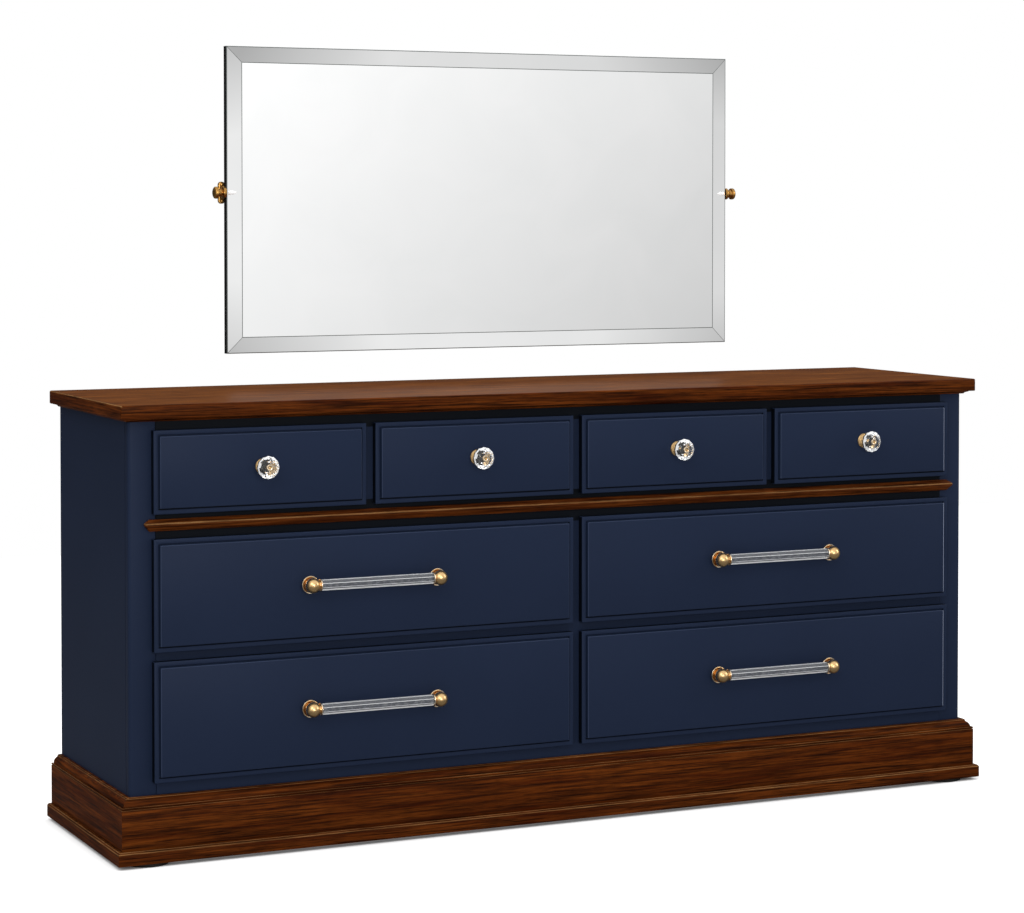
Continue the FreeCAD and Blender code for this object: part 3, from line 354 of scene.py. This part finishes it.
def ease(mesh, width, segments=3, edges=None, angle=30):
    """Round the outer corners that are sharper than an angle, or only the edges given."""
    mesh.normal_update()
    if edges is None:
        edges = [edge for edge in mesh.edges if edge.is_manifold
                 and edge.calc_face_angle_signed() > math.radians(angle)]
    return bmesh.ops.bevel(mesh, geom=edges, offset=width, affect="EDGES", segments=segments, profile=0.5,
                           material=-1, clamp_overlap=True)["faces"]


def highlight_faces(faces, chosen):
    """Give the first extra finish, a paler copy that paints a highlight, to those of the faces whose normal
    is chosen.
    """
    for face in faces:
        face.normal_update()
        if chosen(face.normal):
            face.material_index = EXTRA_1


def node_shape(node):
    """A copy of a CAD node's own shape, with its flat faces whole."""
    mesh = bmesh.new()
    mesh.from_mesh(frame["nodes"][node].data)
    merge(mesh)
    bmesh.ops.dissolve_limit(mesh, angle_limit=math.radians(FLAT_ANGLE), verts=mesh.verts, edges=mesh.edges)
    return mesh


def softened(node, width, segments=2):
    """Stand in for a CAD node with its own shape, its outer corners eased."""
    mesh = node_shape(node)
    ease(mesh, width, segments)
    stand_in(mesh, node)


def turned(mesh, profile, centre, axis, steps=48, closed=False):
    """Spin a profile of (distance along the axis, radius), in mm, round an axis through a point."""
    points = [mesh.verts.new(centre + axis * (along * MM) + UP * (radius * MM))
              for along, radius in profile]
    ends = points[1:] + points[:1] if closed else points[1:]
    edges = [mesh.edges.new(pair) for pair in zip(points, ends)]
    bmesh.ops.spin(mesh, geom=points + edges, cent=centre, axis=axis, angle=2 * math.pi, steps=steps,
                   use_merge=True)


# Drawer fronts: a lip, a narrow quirk and a raised field, with softened corners.
# The fronts whose edge lies near the case's right side get a bright painted glint along it.
LIP_WIDTH, FIELD_RISE, FIELD_DRAFT, FIELD_EASE = 10 * MM, 4.5 * MM, 0.2 * MM, 1.3 * MM
QUIRK_WIDTH, QUIRK_DEPTH = 2 * MM, 3 * MM
ARRIS_REACH, NEAR_SIDE = 2 * MM, 60 * MM
PAINTED_GLINT, PAINTED_SHADE = EXTRA_2, EXTRA_3
case_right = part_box("side_panel_right")[1].x


def front_arris(normal):
    """Whether a normal belongs to the front arris at a field's side or top."""
    return max(abs(normal.x), normal.z) > TILTED and normal.y < -0.6


def drawer_front(node):
    low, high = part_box(node)
    mesh = board(low + Vector((0, FIELD_RISE, 0)), high)
    field = faces_towards(mesh, FORWARD)
    # The front's outer sides take the near-black enamel: painted shade.
    for face in mesh.faces:
        face.material_index = PAINTED_SHADE if abs(face.normal.y) < TILTED else OWN
    # The quirk's outer walls and floor take it too: painted shade.
    insets = ((LIP_WIDTH - QUIRK_WIDTH, 0, OWN), (FIELD_DRAFT, -QUIRK_DEPTH, PAINTED_SHADE), (QUIRK_WIDTH, 0, PAINTED_SHADE),
              (FIELD_DRAFT, QUIRK_DEPTH + FIELD_RISE, OWN))
    for width, depth, finish_index in insets:
        for face in bmesh.ops.inset_region(mesh, faces=field, thickness=width, depth=depth,
                                           use_even_offset=True)["faces"]:
            face.material_index = finish_index
    # Along the top and the left, the quirk's floor keeps plain enamel instead of the painted shade.
    for face in faces_towards(mesh, FORWARD):
        middle = face.calc_center_median()
        if middle.z > high.z - LIP_WIDTH or middle.x < low.x + LIP_WIDTH:
            face.material_index = OWN
    eased = ease(mesh, FIELD_EASE)
    for face in eased:
        face.material_index = OWN
    # The field's eased arrises at its sides and top take a paler enamel: painted highlight.
    edge = [face for face in eased if face.calc_center_median().y < low.y + ARRIS_REACH]
    highlight_faces(edge, front_arris)
    # Near the case's right side the right-hand arris takes a bright enamel: painted glint.
    if high.x > case_right - NEAR_SIDE:
        for face in edge:
            if face.normal.x > TILTED:
                face.material_index = PAINTED_GLINT
    stand_in(mesh, node, [ENAMEL_HIGHLIGHT, ENAMEL_PAINTED_GLINT, ENAMEL_PAINTED_SHADE])


# Knobs: a cut clear knob on a brass rosette, with a brass core through its middle.
# Every profile here is (distance along its axis, radius), in mm.
KNOB_CUTS, KNOB_EASE, KNOB_EASE_ANGLE, MOUNT_EASE = 12, 0.3 * MM, 10, 0.25 * MM
RIM, CUT_MIDDLE, CUT_END, KNOB_FACE = 19, 20.8, 22.6, 26
KNOB = [(0, 2.8), (0, 7.6), (3.5, 8.5), (15, 20.2), (RIM, 20.2), (CUT_MIDDLE, 18.1), (CUT_END, 16),
        (KNOB_FACE, 12.4), (KNOB_FACE, 2.8)]
BOLT = [(0, 0), (0, 4.5), (2.4, 4.5), (3, 4), (3, 2)]
CORE_END, RING_INSIDE = 36, 3
MOUNT = [(0, 2), (0, 14), (1.6, 14), (2.6, 13.2), (2.8, 11.8), (3.6, 10.6), (4, 8.6), (4.6, 7.2), (6, 6.5),
         (8.4, 6.5), (9, 7.6), (10, 7.6), (10, 2.5), (CORE_END, 2.5), (CORE_END, 6), (36.8, 6), (37.4, 5.5),
         (37.5, 4.8), (37.5, 3.6), (37.1, 3), (35.8, 2.8), (35.8, 1.4), (36.4, 0)]


def bolt_behind(length):
    """The bolt's profile, with its head a length in mm behind the front's face."""
    return [(along - length, radius) for along, radius in BOLT]


def clear_knob(node):
    low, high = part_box(node)
    heel = Vector(((low.x + high.x) / 2, high.y, (low.z + high.z) / 2))
    mesh = bmesh.new()
    turned(mesh, KNOB, heel, FORWARD, KNOB_CUTS, closed=True)
    merge(mesh)
    # The face's corners lie half a cut round from the rim's.
    crown = [vert for vert in mesh.verts if vert.co.y < heel.y - (KNOB_FACE - 1) * MM]
    bmesh.ops.rotate(mesh, verts=crown, cent=heel, matrix=Matrix.Rotation(math.pi / KNOB_CUTS, 3, FORWARD))
    ahead = {face: (heel.y - face.calc_center_median().y) / MM for face in mesh.faces}
    # The rim's cuts take dull white acrylic, every second one twice as far in: painted highlights.
    for face, along in ahead.items():
        middle = face.calc_center_median() - heel
        cut = math.floor(math.atan2(middle.z, middle.x) / (2 * math.pi / KNOB_CUTS))
        short, long = RIM < along < CUT_MIDDLE, CUT_MIDDLE < along < CUT_END and cut % 2
        face.material_index = EXTRA_1 if short or long else OWN
    crown_cuts = [face for face, along in ahead.items() if CUT_END < along < KNOB_FACE]
    bmesh.ops.triangulate(mesh, faces=crown_cuts)
    ease(mesh, KNOB_EASE, 1, angle=KNOB_EASE_ANGLE)
    stand_in(mesh, node, [ACRYLIC_HIGHLIGHT], smooth=0)


def knob_mount(node, base_y):
    low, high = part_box(node)
    axis = Vector(((low.x + high.x) / 2, base_y, (low.z + high.z) / 2))
    mesh = bmesh.new()
    turned(mesh, bolt_behind((high.y - base_y) / MM) + MOUNT, axis, FORWARD)
    merge(mesh)
    ease(mesh, MOUNT_EASE, 2)
    # The ring round the core's end takes a paler brass: painted highlight.
    for face in mesh.faces:
        middle = (axis - face.calc_center_median()) / MM
        if middle.y > CORE_END and math.hypot(middle.x, middle.z) > RING_INSIDE:
            face.material_index = EXTRA_1
    stand_in(mesh, node, [BRASS_HIGHLIGHT])


# Pulls: a clear eight-sided rod between two balls on rosettes.
ROD_SIDES, ROD_EASE, POST_EASE = 8, 0.5 * MM, 0.3 * MM
# How far the painted highlight bands reach up from the rod's bottom (-1) and down from its top (1).
HIGHLIGHT_BANDS = {-1: 3.2 * MM, 1: 0.4 * MM}
PULL_REACH, BALL_RADIUS, ROSETTE_RADIUS = 24, 13.5, 15.7
STAND = [(0, 2), (0, 8.5), (1, 9.2), (5, 10.6), (9, 12.8), (12, 15.2), (12.6, ROSETTE_RADIUS), (13, 15.3),
         (12.9, 13.8), (12, 13), (9, 11.4), (6.4, 9.6), (4.4, 7.9), (5, 7.5), (PULL_REACH, 7.5),
         (PULL_REACH, 0)]
COLLAR = [(0, 0), (0, 7.4), (12.6, 7.4), (12.6, 10.4), (13, 11.1), (13.5, 11.3), (14.4, 11.3), (14.9, 11),
          (15.2, 10.4), (15.2, 0)]
# Where the painted highlights start, in mm: the collars in from the balls' middles and out from the front,
# and the rosettes' rims off their axis and out from the front.
COLLAR_INWARD, COLLAR_AHEAD, RIM_RADIUS, RIM_AHEAD = 12.7, 12.7, 13, 11


def clear_rod(node):
    low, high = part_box(node)
    middle, flat, half_side = (low + high) / 2, (high.z - low.z) / 2, math.pi / ROD_SIDES
    radius = flat / math.cos(half_side)
    mesh = bmesh.new()
    bmesh.ops.create_cone(mesh, cap_ends=True, segments=ROD_SIDES, radius1=radius, radius2=radius,
                          depth=high.x - low.x, matrix=Matrix.Translation(middle)
                          @ Matrix.Rotation(math.pi / 2, 4, "Y") @ Matrix.Rotation(half_side, 4, "Z"))
    eased = ease(mesh, ROD_EASE, 1)
    mesh.normal_update()
    for face in mesh.faces:
        face.material_index = EXTRA_2
    # The two front arrises, the rod's bottom and its top take dull white acrylic: painted highlight lines.
    for face in eased:
        if face.normal.y < -0.85 and abs(face.normal.z) > TILTED:
            face.material_index = EXTRA_1
    for side, width in HIGHLIGHT_BANDS.items():
        bmesh.ops.bisect_plane(mesh, geom=mesh.verts[:] + mesh.edges[:] + mesh.faces[:],
                               plane_co=middle + UP * side * (flat - width), plane_no=UP)
        for face in mesh.faces:
            if (face.calc_center_median().z - middle.z) * side > flat - width:
                face.material_index = EXTRA_1
    stand_in(mesh, node, [ACRYLIC_HIGHLIGHT, ACRYLIC_BAR], smooth=0)


def pull_posts(node, base_y):
    low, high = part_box(node)
    height = (low.z + high.z) / 2
    stand = bolt_behind((high.y - base_y) / MM) + STAND
    mesh = bmesh.new()
    for x, inward in ((low.x + ROSETTE_RADIUS * MM, RIGHT), (high.x - ROSETTE_RADIUS * MM, -RIGHT)):
        foot = Vector((x, base_y, height))
        middle = foot + FORWARD * (PULL_REACH * MM)
        turned(mesh, stand, foot, FORWARD)
        turned(mesh, COLLAR, middle, inward)
        bmesh.ops.create_uvsphere(mesh, u_segments=40, v_segments=24, radius=BALL_RADIUS * MM,
                                  matrix=Matrix.Translation(middle))
    merge(mesh)
    ease(mesh, POST_EASE, 2)
    # The rosettes' rims and the collars take a paler brass: painted highlight.
    for face in mesh.faces:
        x, y, z = face.calc_center_median()
        aside, ahead = min(x - low.x, high.x - x) / MM - ROSETTE_RADIUS, base_y - y
        off_axis = math.hypot(aside, (z - height) / MM)
        on_collar = aside > COLLAR_INWARD and ahead > COLLAR_AHEAD * MM
        on_rim = off_axis > RIM_RADIUS and ahead > RIM_AHEAD * MM
        if on_collar or on_rim:
            face.material_index = EXTRA_1
    stand_in(mesh, node, [BRASS_HIGHLIGHT])


BOX_EASE = 0.8 * MM
for node in BODY:
    if node.endswith("_front") and "drawer" in node:
        drawer_front(node)
    elif node.endswith("_knob"):
        clear_knob(node)
    elif node.endswith("_knob_mount"):
        knob_mount(node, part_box(node.replace("_knob_mount", "_front"))[0].y)
    elif node.endswith("_pull_rod"):
        clear_rod(node)
    elif node.endswith("_pull_posts"):
        pull_posts(node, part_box(node.replace("_pull_posts", "_front"))[0].y)
    elif node.endswith("_box"):
        softened(node, BOX_EASE)


# Walnut: the slab, its cove, the waist moulding and the plinth.
# Every profile here is (out from the case, up), in mm.
case_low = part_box("side_panel_left")[0]
case_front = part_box("stile_left")[0].y
case_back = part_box("side_panel_left")[1].y
board_height = (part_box("plinth_boards")[1].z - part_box("plinth_boards")[0].z) / MM
COVE = [(0, 0), (4, 0), (5, 1.6), (7, 3), (9.4, 3.8), (11, 4), (11, 6), (0, 6)]
PLINTH = [(0, 0), (20, 0), (20, board_height), (0, board_height)]
CAP = [(0, 0), (18.2, 0), (18.2, 1.2), (20, 1.2), (20, 4.2), (17.4, 4.2), (17.4, 3), (15.8, 3), (15.8, 5.6),
       (14.6, 9.4), (11.8, 12.8), (8.5, 15), (8.5, 17), (6, 19), (0, 19)]
SHOE = [(20, 0), (28.5, 0), (28.5, 21), (25.5, 24), (20, 24)]
SLAB_EASE, SLAB_UNDER_EASE, WAIST_EASE, WAIST_EASE_ANGLE = 3 * MM, 1.5 * MM, 3.4 * MM, 20
STILE_EASE, PAD_EASE = 2 * MM, 1.5 * MM
# The strips' long edges are level to within the first and longer than the second, in metres. They are
# rounded where they bend by more than the third, in degrees.
LEVEL, LONG, BENT = 1e-7, 0.2, 25


def top_slab():
    low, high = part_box("top_slab")
    mesh = board(low, high)
    upper = [edge for edge in mesh.edges if sum(v.co.z > high.z - MM for v in edge.verts) == 2
             and not all(v.co.y > high.y - MM for v in edge.verts)]
    upper += [edge for edge in mesh.edges if all(v.co.y < low.y + MM for v in edge.verts)
              and edge.verts[0].co.z != edge.verts[1].co.z]
    corners = ease(mesh, SLAB_EASE, 4, upper)
    under = [edge for edge in mesh.edges if all(v.co.z < low.z + MM for v in edge.verts)]
    ease(mesh, SLAB_UNDER_EASE, 2, under)
    # The front's upright corners and the ends' upper arrises take a paler walnut: painted highlight.
    highlight_faces([face for face in corners if face.is_valid], lambda normal: TILTED < abs(normal.x) < 0.95)
    # The top takes a paler walnut: painted light from above and its sheen.
    for face in faces_towards(mesh, UP):
        face.material_index = EXTRA_2
    stand_in(mesh, "top_slab", [WALNUT_HIGHLIGHT, WALNUT_TOP_LIT])


def surround(node, profile, rounding):
    """Run a profile round three sides of the case, with mitred corners."""
    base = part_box(node)[0].z
    half = -case_low.x
    mesh = bmesh.new()
    section = [mesh.verts.new((-half - out * MM, case_back, base + up * MM)) for out, up in profile]
    end = mesh.faces.new(section)
    loop = list(end.edges)
    # Each step lays the section on the next mitre plane: the front corners, then the other end.
    steps = [Matrix(((1, 0, 0, 0), (1, 0, 0, case_front + half), (0, 0, 1, 0), (0, 0, 0, 1))),
             Matrix(((0, -1, 0, half + case_front), (0, 1, 0, 0), (0, 0, 1, 0), (0, 0, 0, 1))),
             Matrix(((1, 0, 0, 0), (0, 0, 0, case_back), (0, 0, 1, 0), (0, 0, 0, 1)))]
    for step in steps:
        new = bmesh.ops.extrude_edge_only(mesh, edges=loop)["geom"]
        loop = [item for item in new if isinstance(item, bmesh.types.BMEdge)
                and all(v in new for v in item.verts)]
        verts = [item for item in new if isinstance(item, bmesh.types.BMVert)]
        bmesh.ops.transform(mesh, matrix=step, verts=verts)
    bmesh.ops.contextual_create(mesh, geom=loop)
    bmesh.ops.recalc_face_normals(mesh, faces=mesh.faces)
    along = [edge for edge in mesh.edges if abs((edge.verts[0].co - edge.verts[1].co).z) < LEVEL
             and edge.calc_length() > LONG]
    mesh.normal_update()
    sharp = [edge for edge in along if edge.is_manifold
             and edge.calc_face_angle_signed() > math.radians(BENT)]
    # Its eased arrises that face up take a paler walnut: painted highlight.
    highlight_faces(ease(mesh, rounding, 2, sharp), lambda normal: normal.z > 0.1)
    stand_in(mesh, node, [WALNUT_HIGHLIGHT])


def waist_moulding():
    mesh = node_shape("waist_moulding")
    for face in mesh.faces:
        face.material_index = EXTRA_2
    # The nose's upper faces take a paler walnut: painted highlight.
    highlight_faces(ease(mesh, WAIST_EASE, 5, angle=WAIST_EASE_ANGLE), lambda normal: 0 < normal.z < 0.8)
    stand_in(mesh, "waist_moulding", [WALNUT_HIGHLIGHT, WALNUT_STRIP])


top_slab()
surround("slab_cove", COVE, 0.4 * MM)
surround("plinth_boards", PLINTH, 0.5 * MM)
surround("plinth_cap", CAP, 0.5 * MM)
surround("base_shoe", SHOE, 1 * MM)
waist_moulding()
for node in ("stile_left", "stile_right"):
    softened(node, STILE_EASE, 3)
softened("foot_pads", PAD_EASE)


# Mirror: bevelled glass with its clips, pivot knobs and stems, and the brackets that carry it.
BEVEL_WIDTH, BEVEL_DEPTH, BEVEL_LINE, MITRE_EASE = 30 * MM, 1.2 * MM, 1.3 * MM, 0.4 * MM
ARRIS_WIDTH, ARRIS_DEPTH = 1.6 * MM, 0.9 * MM
# A clip starts in from the glass's edge and behind its face, and is flatter than it is tall.
CLIP = [(0, 0), (0, 4), (1, 4.6), (11, 4.4), (16, 3.4), (19, 1.8), (20, 0)]
CLIP_INSET, CLIP_DEPTH, CLIP_FLATNESS = 3 * MM, 2.2 * MM, 0.6
PIVOT_KNOB = [(0, 0), (0, 6), (3.5, 6), (3.5, 7.75), (8.6, 7.75), (9, 8.4), (9, 10.6), (9.8, 11.5),
              (14.2, 11.5), (15.4, 10.8), (16.4, 9.4), (17, 7.4), (17.8, 6.2), (18, 0)]
PIVOT_EASE, BRACKET_EASE = 0.3 * MM, 0.5 * MM


def mirror_glass():
    low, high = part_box("mirror_glass")
    mesh = board(low + Vector((0, BEVEL_DEPTH + ARRIS_DEPTH, 0)), high)
    pane = faces_towards(mesh, FORWARD)
    for face in mesh.faces:
        face.material_index = OWN if face in pane else EXTRA_2
    arris = bmesh.ops.inset_region(mesh, faces=pane, thickness=ARRIS_WIDTH, depth=ARRIS_DEPTH,
                                   use_even_offset=True)
    slopes = bmesh.ops.inset_region(mesh, faces=pane, thickness=BEVEL_WIDTH - ARRIS_WIDTH,
                                    depth=BEVEL_DEPTH, use_even_offset=True)["faces"]
    mitres = [edge for edge in mesh.edges if all(face in slopes for face in edge.link_faces)]
    line = bmesh.ops.inset_region(mesh, faces=pane, thickness=BEVEL_LINE, use_even_offset=True)
    for face in arris["faces"] + line["faces"]:
        face.material_index = EXTRA_1
    for face in ease(mesh, MITRE_EASE, 1, mitres):
        face.material_index = EXTRA_1
    stand_in(mesh, "mirror_glass", [GLASS_EDGE, BLACK], smooth=0)


def glass_clips():
    """A small frosted finger on each side bevel, in line with the pivots."""
    low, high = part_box("mirror_glass")
    height = sum(corner.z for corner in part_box("pivot_knobs")) / 2
    depth = low.y + CLIP_DEPTH
    mesh = bmesh.new()
    for x, inward in ((low.x + CLIP_INSET, RIGHT), (high.x - CLIP_INSET, -RIGHT)):
        turned(mesh, CLIP, Vector((x, depth, height)), inward, 24)
    bmesh.ops.scale(mesh, vec=(1, CLIP_FLATNESS, 1), verts=mesh.verts,
                    space=Matrix.Translation((0, -depth, 0)))
    for face in mesh.faces:
        face.material_index = EXTRA_1
    trim(mesh, "glass_clips", "mirror", "clear_acrylic", [ACRYLIC_WHITE])


def pivot_knobs():
    low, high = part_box("pivot_knobs")
    length = PIVOT_KNOB[-1][0] * MM
    mesh = bmesh.new()
    for x, outward in ((low.x + length, -RIGHT), (high.x - length, RIGHT)):
        turned(mesh, PIVOT_KNOB, Vector((x, (low.y + high.y) / 2, (low.z + high.z) / 2)), outward)
    merge(mesh)
    ease(mesh, PIVOT_EASE, 2)
    stand_in(mesh, "pivot_knobs")


mirror_glass()
glass_clips()
pivot_knobs()
for node in ("pivot_stems", "bearing_screws", "wall_brackets"):
    softened(node, BRACKET_EASE)
# The mirror's brass is darker with age than the knobs' and pulls'.
for node in ("pivot_knobs", "pivot_stems", "bearing_screws", "wall_brackets"):
    bpy.data.objects[node + "_shown"].data.materials[0] = BRASS_AGED


# Studio: a pale floor, soft lamps and a light surround.
FLOOR_HALF, SHADOW_REACH, FLOOR_GLOW = 4, 50 * MM, 0.78
FLOOR_TONE, FLOOR_IN_SATIN = "#D6D6D6", "#747474"


def pale_floor():
    mesh = bmesh.new()
    bmesh.ops.create_grid(mesh, x_segments=1, y_segments=1, size=FLOOR_HALF)
    data = bpy.data.meshes.new("floor")
    mesh.to_mesh(data)
    mesh.free()
    floor = bpy.data.objects.new("floor", data)
    bpy.context.scene.collection.objects.link(floor)
    material = bpy.data.materials.new("pale_studio_floor")
    material.use_nodes = True
    tree = material.node_tree
    tree.nodes.remove(tree.nodes["Principled BSDF"])
    path = add(tree, "LightPath")
    seen = add(tree, "Math", {0: path.outputs["Is Camera Ray"], 1: path.outputs["Is Transmission Ray"]},
               operation="MAXIMUM")
    # A sharp mirror shows the floor as the eye sees it. Satin finishes show it greyer.
    sharp = path.outputs["Is Singular Ray"]
    seen = add(tree, "Math", {0: seen.outputs[0], 1: sharp}, operation="MAXIMUM")
    satin = add(tree, "Math", {0: path.outputs["Is Glossy Ray"], 1: sharp}, operation="SUBTRACT",
                use_clamp=True)
    # The floor runs into the white background, but not in the narrow shadow where the base meets it.
    narrow = add(tree, "AmbientOcclusion", {"Distance": SHADOW_REACH})
    white = add(tree, "Math", {0: narrow.outputs["AO"], 1: FLOOR_GLOW}, operation="MULTIPLY")
    lift = add(tree, "Math", {0: seen.outputs[0], 1: white.outputs[0]}, operation="MULTIPLY")
    shade = add(tree, "Mix", {FACTOR: satin.outputs[0], FIRST: linear(FLOOR_TONE),
                              SECOND: linear(FLOOR_IN_SATIN)}, data_type="RGBA")
    paint = add(tree, "BsdfDiffuse", {"Color": shade.outputs[MIXED]})
    glow = add(tree, "Emission", {"Strength": lift.outputs[0]})
    both = add(tree, "AddShader", {0: paint.outputs[0], 1: glow.outputs[0]})
    tree.links.new(both.outputs[0], tree.nodes["Material Output"].inputs["Surface"])
    data.materials.append(material)


# Tones of the surround: its wall's middle lies this far to the right, and the room behind is dim.
WALL_MIDDLE, ROOM_TONE, CEILING_TONE = 0.42, 0.06, 1.0
LEFT_LIGHT, RIGHT_LIGHT = 0.75, 0.25
WHITE = (1, 1, 1, 1)


def studio_world():
    """White to the eye and through glass, a soft pale surround to reflections, and a grey to the rest.

    The grey is paler at the left.
    """
    world = bpy.data.worlds.new("studio")
    bpy.context.scene.world = world
    world.use_nodes = True
    tree = world.node_tree
    tree.nodes.clear()
    path = add(tree, "LightPath")
    seen = add(tree, "Math", {0: path.outputs["Is Camera Ray"], 1: path.outputs["Is Transmission Ray"]},
               operation="MAXIMUM")
    direction = add(tree, "SeparateXYZ", {"Vector": add(tree, "TexCoord").outputs["Generated"]})
    # A soft wall stands in front of the dresser. Its middle fades to the right and down; round that it
    # is paler, with dim corners. The ceiling is one large soft box, and the room behind is dim.
    across, rise = direction.outputs["X"], direction.outputs["Z"]
    offset = add(tree, "Math", {0: across, 1: WALL_MIDDLE}, operation="SUBTRACT").outputs[0]
    aside = add(tree, "Math", {0: offset}, operation="ABSOLUTE").outputs[0]
    level = add(tree, "Math", {0: rise}, operation="ABSOLUTE").outputs[0]
    corner = add(tree, "Math", {0: aside, 1: level}, operation="MULTIPLY").outputs[0]
    # Each tone starts from one value. Its ramps run over (what, from, to) and give (first, last).
    ramps = {"middle": ("ADD", 0.873, [(across, 0.34, 0.50, 0.15, -0.15),
                                       (rise, -0.055, 0.058, -0.10, 0.105)]),
             "round": ("ADD", 0.955, [(across, 0.28, 0.56, 0.04, -0.14), (rise, -0.1, 0.1, -0.035, -0.125),
                                      (corner, 0.0044, 0.0114, 0.0, -0.38),
                                      (corner, 0.02, 0.06, 0.0, 0.38)]),
             "inside": ("MULTIPLY", 1.0, [(aside, 0.085, 0.10, 1.0, 0.0),
                                          (level, 0.062, 0.072, 1.0, 0.0)])}
    tones = {}
    for name, (operation, tone, terms) in ramps.items():
        for value, start, stop, first, last in terms:
            term = add(tree, "MapRange", {"Value": value, "From Min": start, "From Max": stop,
                                          "To Min": first, "To Max": last})
            tone = add(tree, "Math", {0: tone, 1: term.outputs[0]}, operation=operation).outputs[0]
        tones[name] = tone
    wall = add(tree, "Mix", {FACTOR: tones["inside"], FIRST_NUMBER: tones["round"],
                             SECOND_NUMBER: tones["middle"]}, data_type="FLOAT").outputs[MIXED_NUMBER]
    front = add(tree, "MapRange", {"Value": direction.outputs["Y"], "From Min": -0.4, "From Max": 0.0,
                                   "To Min": 1.0, "To Max": 0.0})
    above = add(tree, "MapRange", {"Value": rise, "From Min": 0.35, "From Max": 0.75})
    room = add(tree, "Mix", {FACTOR: front.outputs[0], FIRST_NUMBER: ROOM_TONE, SECOND_NUMBER: wall},
               data_type="FLOAT").outputs[MIXED_NUMBER]
    room = add(tree, "Mix", {FACTOR: above.outputs[0], FIRST_NUMBER: room, SECOND_NUMBER: CEILING_TONE},
               data_type="FLOAT").outputs[MIXED_NUMBER]
    white = add(tree, "Background", {"Color": WHITE, "Strength": 1.0})
    reflected = add(tree, "Background", {"Color": room, "Strength": 1.0})
    light = add(tree, "MapRange", {"Value": across, "From Min": -1, "To Min": LEFT_LIGHT,
                                   "To Max": RIGHT_LIGHT})
    plain = add(tree, "Background", {"Color": WHITE, "Strength": light.outputs[0]})
    gloss = add(tree, "MixShader", {0: path.outputs["Is Glossy Ray"], 1: plain.outputs[0],
                                    2: reflected.outputs[0]})
    result = add(tree, "MixShader", {0: seen.outputs[0], 1: gloss.outputs[0], 2: white.outputs[0]})
    output = add(tree, "OutputWorld", {"Surface": result.outputs[0]})
    output.is_active_output = True


def soft_lamp(name, place, aim, size, watts, mirrored):
    """A large lamp at a place, aimed at a point; only a mirrored one shows in polished metal and glass."""
    data = bpy.data.lights.new(name, "AREA")
    data.shape = "RECTANGLE"
    data.size, data.size_y = size
    data.energy = watts
    lamp = bpy.data.objects.new(name, data)
    lamp.location = place
    lamp.visible_glossy = mirrored
    lamp.rotation_euler = (Vector(aim) - Vector(place)).to_track_quat("-Z", "Y").to_euler()
    bpy.context.scene.collection.objects.link(lamp)


pale_floor()
studio_world()
soft_lamp("key_left", place=(-3.2, -3.6, 3.4), aim=(0, 0, 0.6), size=(2.5, 2.5), watts=50, mirrored=True)
soft_lamp("fill_right", place=(4.6, -2.6, 2.6), aim=(0, 0, 0.6), size=(2.0, 2.5), watts=42, mirrored=True)
soft_lamp("front", place=(-1.0, -6.0, 1.6), aim=(0, 0, 0.5), size=(1.2, 1.2), watts=70, mirrored=True)
soft_lamp("top", place=(0, -0.4, 4.2), aim=(0, 0, 0), size=(4, 2), watts=100, mirrored=False)

# Camera: the photograph's place and angle, for an image of 1024 by 913.
lens = bpy.data.cameras.new("camera")
lens.lens = 96.558
lens.sensor_width = 36
lens.shift_y = -0.16695
eye = bpy.data.objects.new("camera", lens)
eye.location = (-2.2819, -4.7478, 1.1388)
eye.rotation_euler = (math.radians(88.3839), 0, math.radians(-25.3138))
bpy.context.scene.collection.objects.link(eye)
bpy.context.scene.camera = eye
bpy.context.scene.view_settings.view_transform = "Standard"
